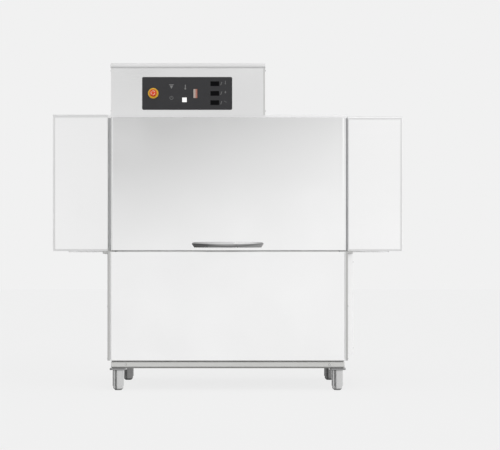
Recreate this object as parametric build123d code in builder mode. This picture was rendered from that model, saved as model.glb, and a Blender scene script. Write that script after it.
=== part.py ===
"""Rack-conveyor dishwasher for commercial kitchens, modelled in millimetres.

+Z is up, +X runs the way the racks travel and the operator stands on the -Y side.
The origin is on the floor, in the middle of the overall length and depth.
"""

import os
from math import atan, degrees, pi

from build123d import *

os.makedirs("parts", exist_ok=True)

# ---------------------------------------------------------------- driving sizes
# Casing
body_width = 1376.0  # across the outer faces of the side panels
body_depth = 780.0  # door face to rear panel
waist_height = 800.0  # floor to the lower edge of the hoods
roof_height = waist_height + 787.0  # floor to the top of the roof cover
sheet = 1.5  # stainless sheet
corner_strip = 17.0  # width of the strip that shows beside the door and the front panel
panel_gap = 2.0  # gap between neighbouring panels
front_zone = 38.0  # door face to the front of the corner posts
strip_setback = 8.0  # the corner strips stand this far behind the door face

# Splash hoods
hood_length = 316.0
left_hood_top = roof_height - 5.0
right_hood_top = roof_height - 16.0
hood_setback = 20.0  # door face to hood front
hood_back_setback = 60.0  # rear panel to hood back
hood_return = 20.0  # width of the folded lower lips
tray_depth = 15.0

# Base frame, legs and feet
frame_bottom = 128.0
frame_height = 43.0
frame_wall = 3.0
frame_flange = 40.0
frame_edge_radius = 12.0
gusset_size = 110.0
leg_inset_x = 57.0  # side panel to leg centre
leg_inset_y = 60.0  # door face or rear panel to leg centre
leg_radius = 33.0
leg_wall = 3.0
leg_plate = 92.0
leg_plate_thickness = 10.0
leg_lower_end = 24.0
leg_nut_height = 24.0
foot_stem_radius = 8.0
foot_clearance = 0.9
foot_bevel = 10.0
running_clearance = 0.05

# Corner posts and the deck that carries the tank and the chamber
post_leg = 40.0
post_wall = 3.0
deck_thickness = 4.0
deck_lip = 25.0
deck_drop = 5.0  # deck top below the waist line

# Wash chamber
chamber_inset = 48.0  # side panel to chamber end wall
chamber_front = 42.0  # door face to chamber front wall
service_space = 110.0  # chamber rear wall to rear panel, for pipes and the drive
chamber_roof_gap = 24.0
door_frame_side = 40.0  # chamber end to the side of the front opening
door_frame_bottom = 38.5
door_frame_top = 53.0

# Rack tunnel
rack_width = 500.0
rack_clearance = 4.0  # between a rack and the upstand of its rail
tunnel_half_width = rack_width / 2 + rack_clearance + 8.0
tunnel_sill = waist_height + 35.0
track_height = tunnel_sill + 45.0
tunnel_top = track_height + 465.0

# Tank
tank_side_gap = 35.0  # chamber wall to tank wall along X
tank_front_gap = 18.0  # chamber wall to tank wall along Y
tank_straight = 155.0  # straight part of the tank wall, below the rim
sump_depth = 120.0
sump_half_length = 150.0

# Door and its handle
door_thickness = 28.0
door_bottom = waist_height + 3.0
door_top = roof_height - 21.0
door_travel = 480.0
handle_width = 422.0
handle_reach = 44.0
handle_height = 31.0
handle_rise = 17.0  # door's lower edge to the handle's underside

# Control box
box_left = -674.0
box_width = 889.0
box_setback = 62.0
box_depth = 400.0
box_top = roof_height + 292.0
lid_height = 23.0
lid_overhang = 2.0
panel_left = -494.0
panel_width = 519.0
panel_bottom = roof_height + 28.0
panel_height = 189.0
panel_thickness = 4.0
panel_corner = 8.0

# ---------------------------------------------------------------- shared places
half_width = body_width / 2
face = (handle_reach - body_depth) / 2  # outer face of the door
back = face + body_depth
inner_side = half_width - sheet
strip_inner = half_width - corner_strip
door_half = strip_inner - panel_gap
post_front = face + front_zone
frame_top = frame_bottom + frame_height
frame_half = door_half
roof_inside = roof_height - sheet - 2.0
roof_flange_bottom = roof_height - 20.0
deck_top = waist_height - deck_drop
panel_top = waist_height - 3.0

chamber_half = half_width - chamber_inset
chamber_y0 = face + chamber_front
chamber_y1 = back - service_space
chamber_top = roof_height - chamber_roof_gap
rim_top = deck_top + sheet
track_y = (chamber_y0 + chamber_y1) / 2  # centre plane of the rack tunnel

tank_half = chamber_half - tank_side_gap
tank_y0 = chamber_y0 + tank_front_gap
tank_y1 = chamber_y1 - tank_front_gap - 2.0
tank_corner_z = deck_top - tank_straight
sump_z = tank_corner_z - sump_depth
low_spray_z = tunnel_sill - 21.0  # lower wash and rinse pipes, under the track

leg_x = half_width - leg_inset_x
leg_places = {
    "front_left": (-leg_x, face + leg_inset_y),
    "front_right": (leg_x, face + leg_inset_y),
    "rear_left": (-leg_x, back - leg_inset_y),
    "rear_right": (leg_x, back - leg_inset_y),
}


def block(x, y, z, mode=Mode.ADD):
    """A box given by its ranges along X, Y and Z."""
    centre = ((x[0] + x[1]) / 2, (y[0] + y[1]) / 2, (z[0] + z[1]) / 2)
    with Locations(centre):
        return Box(x[1] - x[0], y[1] - y[0], z[1] - z[0], mode=mode)


def rod(start, radius, length, direction, mode=Mode.ADD):
    """A round bar or hole that starts at a point and runs along a direction."""
    with BuildSketch(Plane(origin=start, z_dir=direction)) as disc:
        Circle(radius)
    return extrude(disc.sketch, amount=length, mode=mode)


def save(piece, name):
    """Label a finished piece and write its own STEP file."""
    piece.part.label = name
    export_step(piece.part, f"parts/{name}.step")


# ================================================================ base and casing
frame_y = (face + strip_setback, back - strip_setback)
with BuildPart() as frame_hollow:
    block(
        (-frame_half + frame_wall, frame_half - frame_wall),
        (frame_y[0] + frame_wall, frame_y[1] - frame_wall),
        (frame_bottom + frame_wall, frame_top - frame_wall),
    )
    inner_rims = frame_hollow.faces().sort_by(Axis.Z)[0].edges()
    inner_rims += frame_hollow.faces().sort_by(Axis.Z)[-1].edges()
    fillet(inner_rims, frame_edge_radius - frame_wall)

with BuildPart() as base_frame:
    block((-frame_half, frame_half), frame_y, (frame_bottom, frame_top))
    outer_rims = base_frame.faces().sort_by(Axis.Z)[0].edges()
    outer_rims += base_frame.faces().sort_by(Axis.Z)[-1].edges()
    fillet(outer_rims, frame_edge_radius)
    inner_x = frame_half - frame_flange
    block(
        (-inner_x, inner_x),
        (frame_y[0] + frame_flange, frame_y[1] - frame_flange),
        (frame_bottom, frame_top),
        mode=Mode.SUBTRACT,
    )
    # the channel opens inwards, so its web is the face that shows
    add(frame_hollow.part, mode=Mode.SUBTRACT)
    for name, (x, y) in leg_places.items():
        sign_x = 1 if x > 0 else -1
        sign_y = 1 if y > 0 else -1
        corner_x = sign_x * (frame_half - frame_edge_radius)
        corner_y = (frame_y[1] if y > 0 else frame_y[0]) - sign_y * frame_edge_radius
        block(
            sorted((corner_x, corner_x - sign_x * gusset_size)),
            sorted((corner_y, corner_y - sign_y * gusset_size)),
            (frame_bottom, frame_bottom + frame_wall),
        )
        rod(
            (x, y, frame_bottom),
            foot_stem_radius + 3,
            frame_wall,
            (0, 0, 1),
            mode=Mode.SUBTRACT,
        )
save(base_frame, "base_frame")

gland_radius = 10.0
gland_x = -450.0
gland_y = 250.0

with BuildPart() as floor_pan:
    pan_inset = frame_edge_radius + 0.5
    pan_half = frame_half - pan_inset
    with BuildSketch(Plane.XY.offset(frame_bottom + frame_wall)):
        pan_length = frame_y[1] - frame_y[0] - 2 * pan_inset
        with Locations((0, (frame_y[0] + frame_y[1]) / 2)):
            Rectangle(2 * pan_half, pan_length)
        with Locations(*leg_places.values()):
            Circle(foot_stem_radius + 3, mode=Mode.SUBTRACT)
        with Locations((gland_x, gland_y)):
            Circle(gland_radius, mode=Mode.SUBTRACT)
    extrude(amount=sheet)
save(floor_pan, "floor_pan")
floor_top = frame_bottom + frame_wall + sheet

with BuildPart() as leg_sleeves:
    for x, y in leg_places.values():
        with BuildSketch(Plane.XY.offset(leg_lower_end)):
            with Locations((x, y)):
                Circle(leg_radius)
        extrude(amount=frame_bottom - leg_lower_end)
        with BuildSketch(Plane.XY.offset(frame_bottom - leg_plate_thickness)):
            with Locations((x, y)):
                RectangleRounded(leg_plate, leg_plate, 12)
        extrude(amount=leg_plate_thickness)
        bore = frame_bottom - leg_nut_height - leg_lower_end
        rod(
            (x, y, leg_lower_end),
            leg_radius - leg_wall,
            bore,
            (0, 0, 1),
            mode=Mode.SUBTRACT,
        )
        rod(
            (x, y, leg_lower_end),
            foot_stem_radius + running_clearance,
            frame_bottom - leg_lower_end,
            (0, 0, 1),
            mode=Mode.SUBTRACT,
        )
save(leg_sleeves, "leg_sleeves")

foot_radius = leg_radius - leg_wall - foot_clearance
foot_shoulder = leg_lower_end + 24
foot_stem_top = frame_bottom - leg_nut_height + 14
with BuildPart() as adjustable_feet:
    for x, y in leg_places.values():
        rod((x, y, 0), foot_radius, foot_shoulder, (0, 0, 1))
    chamfer(adjustable_feet.edges().group_by(Axis.Z)[0], foot_bevel)
    for x, y in leg_places.values():
        rod(
            (x, y, foot_shoulder),
            foot_stem_radius,
            foot_stem_top - foot_shoulder,
            (0, 0, 1),
        )
save(adjustable_feet, "adjustable_feet")

# Spring reels hang on axles that are welded to the front posts
reel_x = half_width - 27.0
reel_y = face + 57.0
reel_z = door_top - 36.0
reel_radius = 22.0
reel_flange = 3.0
reel_width = 12.0
axle_radius = 5.0
post_notch = reel_z - reel_radius - reel_flange - 6.0

# The door runs on shoes that reach through a slot in each front post
shoe_x = half_width - 12.0
shoe_slot = 8.0
shoe_clearance = 0.6
shoe_bottom = door_bottom + 30.0
shoe_length = 175.0
shoe_head = 13.0
shoe_head_depth = 6.0
shoe_seat = 0.3
roof_front = face + box_setback + sheet + 1.0

with BuildPart() as corner_posts:
    for side in (-1, 1):
        outer = side * inner_side
        with BuildSketch(Plane.XY.offset(frame_top)):
            with BuildLine():
                Polyline(
                    (outer, post_front),
                    (outer - side * post_leg, post_front),
                    (outer - side * post_leg, post_front + post_wall),
                    (outer - side * post_wall, post_front + post_wall),
                    (outer - side * post_wall, post_front + post_leg),
                    (outer, post_front + post_leg),
                    close=True,
                )
            make_face()
        extrude(amount=post_notch - frame_top)
        block(
            sorted((outer, outer - side * post_wall)),
            (post_front, post_front + post_leg),
            (post_notch, roof_inside),
        )
        block(
            sorted((outer, outer - side * post_wall)),
            (post_front, roof_front + sheet + 0.5),
            (roof_flange_bottom, roof_inside),
            mode=Mode.SUBTRACT,
        )
        block(
            (side * shoe_x - shoe_slot / 2, side * shoe_x + shoe_slot / 2),
            (post_front, post_front + post_wall),
            (shoe_bottom - shoe_seat, post_notch),
            mode=Mode.SUBTRACT,
        )
        rod(
            (outer - side * post_wall, reel_y, reel_z),
            axle_radius,
            inner_side - post_wall - reel_x + reel_width / 2 + 4,
            (-side, 0, 0),
        )
        rear = back - sheet
        with BuildSketch(Plane.XY.offset(frame_top)):
            with BuildLine():
                Polyline(
                    (outer, rear),
                    (outer - side * post_leg, rear),
                    (outer - side * post_leg, rear - post_wall),
                    (outer - side * post_wall, rear - post_wall),
                    (outer - side * post_wall, rear - post_leg),
                    (outer, rear - post_leg),
                    close=True,
                )
            make_face()
        extrude(amount=roof_inside - frame_top)
save(corner_posts, "corner_posts")

for side, name in ((-1, "left_side_panel"), (1, "right_side_panel")):
    with BuildPart() as side_panel:
        block(
            sorted((side * strip_inner, side * half_width)),
            (face + strip_setback, back),
            (frame_top, panel_top),
        )
        block(
            sorted((side * (strip_inner - 1), side * inner_side)),
            (face + strip_setback + sheet, back - sheet),
            (frame_top, panel_top),
            mode=Mode.SUBTRACT,
        )
    save(side_panel, name)

cover_proud = 36.0
cover_corner = 20.0
cover_z = (frame_top + 34.0, panel_top - 25.0)
with BuildPart() as right_service_cover:
    with BuildSketch(Plane.YZ.offset(half_width)):
        with Locations(((face + back) / 2 - 10, (cover_z[0] + cover_z[1]) / 2)):
            RectangleRounded(body_depth - 180, cover_z[1] - cover_z[0], cover_corner)
    extrude(amount=cover_proud)
    chamfer(right_service_cover.faces().sort_by(Axis.X)[-1].edges(), 4)
    offset(
        amount=-sheet, openings=right_service_cover.faces().sort_by(Axis.X)[0]
    )
save(right_service_cover, "right_service_cover")

with BuildPart() as lower_front_panel:
    block(
        (-door_half, door_half),
        (face, post_front),
        (frame_top + panel_gap, panel_top),
    )
    fillet(lower_front_panel.edges().group_by(Axis.Y)[0], 2.5)
    offset(amount=-sheet, openings=lower_front_panel.faces().sort_by(Axis.Y)[-1])
save(lower_front_panel, "lower_front_panel")

louvre_pitch = 22.0
louvre_count = 9
louvre_size = (220.0, 9.0)
louvre_x = 330.0
louvre_z = 560.0
drain_x = 110.0
drain_z = 215.0
inlet_x = 430.0
inlet_z = 260.0
with BuildPart() as rear_panel:
    with BuildSketch(Plane.XZ.offset(-back)):
        with Locations((0, (frame_top + roof_flange_bottom) / 2)):
            Rectangle(2 * door_half, roof_flange_bottom - frame_top)
        with Locations((-louvre_x, louvre_z), (louvre_x, louvre_z)):
            with GridLocations(0, louvre_pitch, 1, louvre_count):
                Rectangle(*louvre_size, mode=Mode.SUBTRACT)
        with Locations((drain_x, drain_z)):
            Circle(30, mode=Mode.SUBTRACT)
        with Locations((inlet_x, inlet_z)):
            Circle(17, mode=Mode.SUBTRACT)
    extrude(amount=sheet)
save(rear_panel, "rear_panel")

# ================================================================ deck, tank, chamber
riser_x = -122.0
riser_y = back - 57.0
riser_radius = 22.0
rinse_x = inlet_x
rinse_radius = 10.0
drive_x = 150.0
drive_y = back - 62.0
drive_shaft_radius = 12.0
pipe_gap = 1.5

with BuildPart() as deck:
    deck_y = (post_front, back - sheet)
    block((-inner_side, inner_side), deck_y, (deck_top - deck_lip, deck_top))
    block(
        (-inner_side + deck_thickness, inner_side - deck_thickness),
        (deck_y[0] + deck_thickness, deck_y[1] - deck_thickness),
        (deck_top - deck_lip, deck_top - deck_thickness),
        mode=Mode.SUBTRACT,
    )
    block(
        (-tank_half - 2, tank_half + 2),
        (tank_y0 - 2, tank_y1 + 2),
        (deck_top - deck_lip, deck_top),
        mode=Mode.SUBTRACT,
    )
    for side in (-1, 1):
        notch_x = sorted((side * inner_side, side * (inner_side - post_leg - 0.5)))
        for notch_y in (
            (deck_y[0], deck_y[0] + post_leg + 0.5),
            (deck_y[1] - post_leg - 0.5, deck_y[1]),
        ):
            block(
                notch_x,
                notch_y,
                (deck_top - deck_lip, deck_top),
                mode=Mode.SUBTRACT,
            )
    up = (0, 0, 1)
    pipe_hole = (riser_x, riser_y, deck_top - deck_lip)
    rod(pipe_hole, riser_radius + pipe_gap, deck_lip, up, mode=Mode.SUBTRACT)
    pipe_hole = (rinse_x, riser_y, deck_top - deck_lip)
    rod(pipe_hole, rinse_radius + pipe_gap, deck_lip, up, mode=Mode.SUBTRACT)
    pipe_hole = (drive_x, drive_y, deck_top - deck_lip)
    rod(pipe_hole, drive_shaft_radius + pipe_gap, deck_lip, up, mode=Mode.SUBTRACT)
    for side in (-1, 1):
        block(
            sorted((side * (inner_side - post_leg - 0.5), side * (tank_half + 2))),
            (deck_y[0], deck_y[0] + deck_thickness),
            (deck_top - deck_lip, deck_top),
        )
save(deck, "deck")

sump_width = 260.0
tank_rim = 12.0
overflow_x = drain_x
overflow_y = track_y - 90.0
overflow_seat_radius = 24.0
pump_x = -60.0
pump_y = track_y
pump_inlet_radius = 32.0

with BuildPart() as wash_tank:
    tank_y = (tank_y0 + tank_y1) / 2
    for inset in (0.0, sheet):
        with BuildSketch(Plane.XY.offset(tank_corner_z)) as tank_mouth:
            with Locations((0, tank_y)):
                Rectangle(2 * (tank_half - inset), tank_y1 - tank_y0 - 2 * inset)
        with BuildSketch(Plane.XY.offset(sump_z + inset)) as tank_floor:
            with Locations((0, tank_y)):
                Rectangle(2 * (sump_half_length - inset), sump_width - 2 * inset)
        mode = Mode.SUBTRACT if inset else Mode.ADD
        loft([tank_mouth.sketch.face(), tank_floor.sketch.face()], mode=mode)
        extrude(tank_mouth.sketch, amount=tank_straight + sheet, mode=mode)
    with BuildSketch(Plane.XY.offset(deck_top)) as rim:
        with Locations((0, tank_y)):
            Rectangle(2 * (tank_half + tank_rim), tank_y1 - tank_y0 + 2 * tank_rim)
            Rectangle(
                2 * (tank_half - sheet),
                tank_y1 - tank_y0 - 2 * sheet,
                mode=Mode.SUBTRACT,
            )
    extrude(rim.sketch, amount=sheet)
    down = (0, 0, -1)
    rod(
        (overflow_x, overflow_y, sump_z + sheet),
        overflow_seat_radius,
        sheet,
        down,
        mode=Mode.SUBTRACT,
    )
    rod(
        (pump_x, pump_y, sump_z + sheet),
        pump_inlet_radius,
        sheet,
        down,
        mode=Mode.SUBTRACT,
    )
    save(wash_tank, "wash_tank")

drive_slot_half = 48.0
drive_slot_z = (tunnel_sill - 29.0, tunnel_sill - 5.0)
lower_feed_z = low_spray_z
upper_feed_z = tunnel_top + 95.0
feed_radius = 14.0
upper_rinse_z = tunnel_top + 75.0
lower_rinse_z = lower_feed_z
rinse_feed_radius = 8.0

with BuildPart() as wash_chamber:
    block((-chamber_half, chamber_half), (chamber_y0, chamber_y1), (rim_top, chamber_top))
    fillet(wash_chamber.edges().filter_by(Axis.X).group_by(Axis.Z)[-1], 15)
    block(
        (-chamber_half + sheet, chamber_half - sheet),
        (chamber_y0 + sheet, chamber_y1 - sheet),
        (rim_top, chamber_top - sheet),
        mode=Mode.SUBTRACT,
    )
    block(
        (-chamber_half + door_frame_side, chamber_half - door_frame_side),
        (chamber_y0, chamber_y0 + sheet),
        (rim_top + door_frame_bottom, chamber_top - door_frame_top),
        mode=Mode.SUBTRACT,
    )
    block(
        (-chamber_half, chamber_half),
        (track_y - tunnel_half_width, track_y + tunnel_half_width),
        (tunnel_sill, tunnel_top),
        mode=Mode.SUBTRACT,
    )
    block(
        (drive_x - drive_slot_half, drive_x + drive_slot_half),
        (chamber_y1 - sheet, chamber_y1),
        drive_slot_z,
        mode=Mode.SUBTRACT,
    )
    toward_back = (0, 1, 0)
    for x, z, radius in (
        (riser_x, lower_feed_z, feed_radius),
        (riser_x, upper_feed_z, feed_radius),
        (rinse_x, lower_rinse_z, rinse_feed_radius),
        (rinse_x, upper_rinse_z, rinse_feed_radius),
    ):
        rod(
            (x, chamber_y1 - sheet, z),
            radius + 0.5,
            sheet,
            toward_back,
            mode=Mode.SUBTRACT,
        )
save(wash_chamber, "wash_chamber")

rod_radius = 5.0
rod_z = tunnel_top - 15.0
rod_x = half_width - 27.0
with BuildPart() as tunnel_collars:
    for side in (-1, 1):
        reach = sorted((side * chamber_half, side * inner_side))
        block(
            reach,
            (track_y - tunnel_half_width - sheet, track_y + tunnel_half_width + sheet),
            (tunnel_sill - sheet, tunnel_top + sheet),
        )
        block(
            reach,
            (track_y - tunnel_half_width, track_y + tunnel_half_width),
            (tunnel_sill, tunnel_top),
            mode=Mode.SUBTRACT,
        )
save(tunnel_collars, "tunnel_collars")

for side, name in ((-1, "entry"), (1, "exit")):
    with BuildPart() as upper_side_panel:
        block(
            sorted((side * inner_side, side * half_width)),
            (post_front, back),
            (waist_height, roof_flange_bottom),
        )
        block(
            sorted((side * inner_side, side * half_width)),
            (track_y - tunnel_half_width, track_y + tunnel_half_width),
            (tunnel_sill, tunnel_top),
            mode=Mode.SUBTRACT,
        )
    save(upper_side_panel, f"{name}_side_wall")

with BuildPart() as curtain_rods:
    for side in (-1, 1):
        rod(
            (side * rod_x, track_y - tunnel_half_width, rod_z),
            rod_radius,
            2 * tunnel_half_width,
            (0, 1, 0),
        )
save(curtain_rods, "curtain_rods")

strip_count = 5
strip_gap = 3.0
strip_thickness = 3.0
curtain_half = tunnel_half_width - 10.0
curtain_bottom = track_height + 14.0
hem_radius = 8.5
for side, name in ((-1, "entry"), (1, "exit")):
    with BuildPart() as curtain:
        rod(
            (side * rod_x, track_y - curtain_half, rod_z),
            hem_radius,
            2 * curtain_half,
            (0, 1, 0),
        )
        strip_width = (2 * curtain_half - (strip_count - 1) * strip_gap) / strip_count
        for index in range(strip_count):
            start = track_y - curtain_half + index * (strip_width + strip_gap)
            block(
                (side * rod_x - strip_thickness / 2, side * rod_x + strip_thickness / 2),
                (start, start + strip_width),
                (curtain_bottom, rod_z - rod_radius - 1),
            )
        rod(
            (side * rod_x, track_y - curtain_half, rod_z),
            rod_radius + running_clearance,
            2 * curtain_half,
            (0, 1, 0),
            mode=Mode.SUBTRACT,
        )
    save(curtain, f"{name}_curtain")

# ---------------------------------------------------------------- roof and hoods
with BuildPart() as roof_cover:
    block(
        (-half_width, half_width),
        (roof_front, back),
        (roof_flange_bottom, roof_height),
    )
    fillet(roof_cover.faces().sort_by(Axis.Z)[-1].edges(), 3)
    offset(amount=-sheet, openings=roof_cover.faces().sort_by(Axis.Z)[0])
save(roof_cover, "roof_cover")

hood_y0 = face + hood_setback
hood_y1 = back - hood_back_setback
hood_flange = 15.0
hem_radius = 4.0
for side, top, name in (
    (-1, left_hood_top, "entry_hood"),
    (1, right_hood_top, "exit_hood"),
):
    with BuildPart() as hood:
        near = side * half_width
        far = side * (half_width + hood_length)
        block(sorted((near, far)), (hood_y0, hood_y1), (waist_height, top))
        crown = hood.edges().filter_by(Axis.X).group_by(Axis.Z)[-1]
        fillet(crown, 6)
        far_corners = hood.edges().filter_by(Axis.Z).sort_by(Axis.X)
        fillet(far_corners[:2] if side < 0 else far_corners[-2:], hem_radius)
        block(
            sorted((near, far)),
            (hood_y0 + sheet, hood_y1 - sheet),
            (waist_height, top - sheet),
            mode=Mode.SUBTRACT,
        )
        for lip_y in (
            (hood_y0, hood_y0 + hood_return),
            (hood_y1 - hood_return, hood_y1),
        ):
            block(sorted((near, far)), lip_y, (waist_height, waist_height + sheet))
        for flange_x in ((near, near + side * sheet), (far - side * sheet, far)):
            with BuildSketch(Plane.YZ.offset(min(flange_x))) as flange:
                with Locations(((hood_y0 + hood_y1) / 2, (waist_height + top) / 2)):
                    Rectangle(hood_y1 - hood_y0 - 2, top - waist_height)
                    Rectangle(
                        hood_y1 - hood_y0 - 2 * hood_flange,
                        top - waist_height,
                        mode=Mode.SUBTRACT,
                    )
                with Locations(((hood_y0 + hood_y1) / 2, top - (hood_flange + 1) / 2)):
                    Rectangle(hood_y1 - hood_y0 - 2, hood_flange - 1)
            extrude(flange.sketch, amount=sheet)
    save(hood, name)

flange_reach = 30.0
flange_lip = 15.0
bolt_spacing = 480.0
bolt_hole = 5.0
with BuildPart() as table_flanges:
    for side in (-1, 1):
        near = side * half_width
        far = side * (half_width + flange_reach)
        flange_y = (hood_y0 + hood_return + 4, hood_y1 - hood_return - 4)
        flange_z = (waist_height - flange_lip, waist_height)
        block(sorted((near, far)), flange_y, flange_z)
        block(
            sorted((near, far - side * 2)),
            flange_y,
            (flange_z[0], waist_height - 2),
            mode=Mode.SUBTRACT,
        )
        for y in (track_y - bolt_spacing / 2, track_y + bolt_spacing / 2):
            rod(
                (side * (half_width + flange_reach / 2), y, waist_height - 2),
                bolt_hole,
                2,
                (0, 0, 1),
                mode=Mode.SUBTRACT,
            )
save(table_flanges, "table_flanges")

# ================================================================ lift-up door
door_back = face + door_thickness
door_fold = 22.0
door_edge_radius = 12.0
stiffener = 60.0
swage_depth = 5.0

with BuildPart() as door_panel:
    block((-door_half, door_half), (face, door_back), (door_bottom, door_top))
    front_edges = door_panel.edges().group_by(Axis.Y)[0]
    fillet(front_edges.filter_by(Axis.Z), door_edge_radius)
    front_face = door_panel.faces().sort_by(Axis.Y)[0]
    fillet(front_face.edges().filter_by(Axis.X), 2.0)
    offset(amount=-sheet, openings=door_panel.faces().sort_by(Axis.Y)[-1])
    # folded returns run round the rear edge
    with BuildSketch(Plane.XZ.offset(-door_back)) as door_return:
        with Locations((0, (door_bottom + door_top) / 2)):
            Rectangle(2 * door_half, door_top - door_bottom)
            Rectangle(
                2 * (door_half - door_fold),
                door_top - door_bottom - 2 * door_fold,
                mode=Mode.SUBTRACT,
            )
    extrude(door_return.sketch, amount=sheet)
save(door_panel, "door_panel")

with BuildPart() as door_liner:
    liner_x = door_half - door_fold - 1.0
    liner_z = (door_bottom + door_fold + 1.0, door_top - door_fold - 1.0)
    block((-liner_x, liner_x), (face + sheet, door_back), liner_z)
    block(
        (-liner_x + sheet, liner_x - sheet),
        (face + sheet, door_back - sheet),
        (liner_z[0] + sheet, liner_z[1] - sheet),
        mode=Mode.SUBTRACT,
    )
    with BuildSketch(Plane.XZ.offset(-door_back)) as swage:
        with Locations((0, (liner_z[0] + liner_z[1]) / 2)):
            Rectangle(2 * (liner_x - stiffener), liner_z[1] - liner_z[0] - 2 * stiffener)
    extrude(swage.sketch, amount=swage_depth + sheet, taper=45)
    with BuildSketch(Plane.XZ.offset(-door_back)) as swage_inside:
        offset(swage.sketch, amount=-sheet)
    extrude(swage_inside.sketch, amount=swage_depth, taper=45, mode=Mode.SUBTRACT)
save(door_liner, "door_liner")

# Constant-force springs: a reel on each post axle and a steel tape down to the door
tape_thickness = 0.8
tape_width = reel_width - 3.0
tape_y = reel_y - reel_radius - tape_thickness
tape_foot = door_bottom + 60.0
bracket_height = 40.0

with BuildPart() as door_runners:
    for side in (-1, 1):
        x = side * shoe_x
        stem = shoe_slot / 2 - shoe_clearance
        outer_x = side * door_half
        block(
            sorted((outer_x, x + side * stem)),
            (door_back - 4, door_back),
            (shoe_bottom, shoe_bottom + shoe_length),
        )
        block(
            (x - stem, x + stem),
            (door_back - 4, post_front + post_wall + shoe_clearance),
            (shoe_bottom, shoe_bottom + shoe_length),
        )
        head = post_front + post_wall + shoe_clearance
        block(
            (x - shoe_head / 2, x + shoe_head / 2),
            (head, head + shoe_head_depth),
            (shoe_bottom, shoe_bottom + shoe_length),
        )
        x = side * reel_x
        block(
            (x - reel_width / 2, x + reel_width / 2),
            (door_back, tape_y),
            (tape_foot - bracket_height, tape_foot),
        )
save(door_runners, "door_runners")

for side, name in ((-1, "left"), (1, "right")):
    x = side * reel_x
    with BuildPart() as spring_reel:
        rod((x - reel_width / 2, reel_y, reel_z), reel_radius, reel_width, (1, 0, 0))
        for flange_x in (x - reel_width / 2, x + reel_width / 2 - 1.5):
            rod((flange_x, reel_y, reel_z), reel_radius + reel_flange, 1.5, (1, 0, 0))
        rod(
            (x - reel_width / 2, reel_y, reel_z),
            axle_radius + running_clearance,
            reel_width,
            (1, 0, 0),
            mode=Mode.SUBTRACT,
        )
    save(spring_reel, f"{name}_spring_reel")
    with BuildPart() as spring_tape:
        block(
            (x - tape_width / 2, x + tape_width / 2),
            (tape_y, tape_y + tape_thickness),
            (tape_foot - bracket_height + 5, reel_z),
        )
    save(spring_tape, f"{name}_spring_tape")

# Bow handle: pressed shell, open below for the fingers, whose skirt leans in downwards
handle_z = door_bottom + handle_rise
handle_top = handle_z + handle_height
handle_skin = 3.0
handle_lean = 8.0
handle_crown = 9.0
pocket_crown = 6.0


def bow(skin, z):
    """A crescent whose front is an arc, run on past the door face and shrunk by a skin."""
    radius = ((handle_width / 2) ** 2 + handle_reach**2) / (2 * handle_reach)
    centre = face - handle_reach + radius
    tail = face + handle_crown
    half = ((radius - skin) ** 2 - (centre - tail) ** 2) ** 0.5
    with BuildSketch(Plane.XY.offset(z)) as crescent:
        with BuildLine():
            ThreePointArc((-half, tail), (0, centre - radius + skin), (half, tail))
            Line((half, tail), (-half, tail))
        make_face()
    return crescent.sketch


def lean_down(skin, top, crown):
    """The crescent drawn down from its top, leaning towards the door, with a round crown."""
    height = top - handle_z
    lean = handle_lean * height / handle_height
    with BuildPart() as hull:
        length = (height**2 + lean**2) ** 0.5
        extrude(bow(skin, top), amount=length, dir=(0, lean, -height))
        rim = hull.edges().group_by(Axis.Z)[-1].sort_by(Axis.Y)[0]
        fillet(rim, crown)
    return hull.part


handle_hull = lean_down(0, handle_top, handle_crown)
handle_pocket = lean_down(handle_skin, handle_top - handle_skin, pocket_crown)
with BuildPart() as door_handle:
    add(handle_hull)
    add(handle_pocket, mode=Mode.SUBTRACT)
    block(
        (-handle_width, handle_width),
        (face, face + 3 * handle_crown),
        (handle_z, handle_top),
        mode=Mode.SUBTRACT,
    )
save(door_handle, "door_handle")

# ================================================================ control box
box_right = box_left + box_width
box_y0 = face + box_setback
box_y1 = box_y0 + box_depth
shell_top = box_top - lid_height
panel_right = panel_left + panel_width
panel_top_z = panel_bottom + panel_height
panel_seat = 0.4
panel_z = panel_bottom + panel_height / 2
panel_x = (panel_left + panel_right) / 2

with BuildPart() as control_box_shell:
    block(
        (box_left, box_right),
        (box_y0 + sheet + 0.5, box_y1),
        (roof_height, shell_top),
    )
    block(
        (box_left + sheet, box_right - sheet),
        (box_y0, box_y1 - sheet),
        (roof_height + sheet, shell_top),
        mode=Mode.SUBTRACT,
    )
save(control_box_shell, "control_box_shell")

with BuildPart() as control_box_front:
    block(
        (box_left, box_right),
        (box_y0, box_y0 + sheet),
        (roof_flange_bottom + 1, shell_top),
    )
    block(
        (panel_left + 6, panel_right - 6),
        (box_y0, box_y0 + sheet),
        (panel_bottom + 6, panel_top_z - 6),
        mode=Mode.SUBTRACT,
    )
save(control_box_front, "control_box_front")

with BuildPart() as control_box_lid:
    lid_y = (box_y0 - lid_overhang, box_y1 + lid_overhang)
    block(
        (box_left - lid_overhang, box_right + lid_overhang), lid_y, (shell_top, box_top)
    )
    fillet(control_box_lid.faces().sort_by(Axis.Z)[-1].edges(), 2.5)
    block(
        (box_left - lid_overhang + sheet, box_right + lid_overhang - sheet),
        (lid_y[0] + sheet, lid_y[1] - sheet),
        (shell_top, box_top - sheet),
        mode=Mode.SUBTRACT,
    )
    block(
        (box_left + sheet + 8, box_right - sheet - 8),
        (box_y0 + 30, box_y1 - 30),
        (shell_top, box_top - sheet - 6),
        mode=Mode.SUBTRACT,
    )
save(control_box_lid, "control_box_lid")

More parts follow.
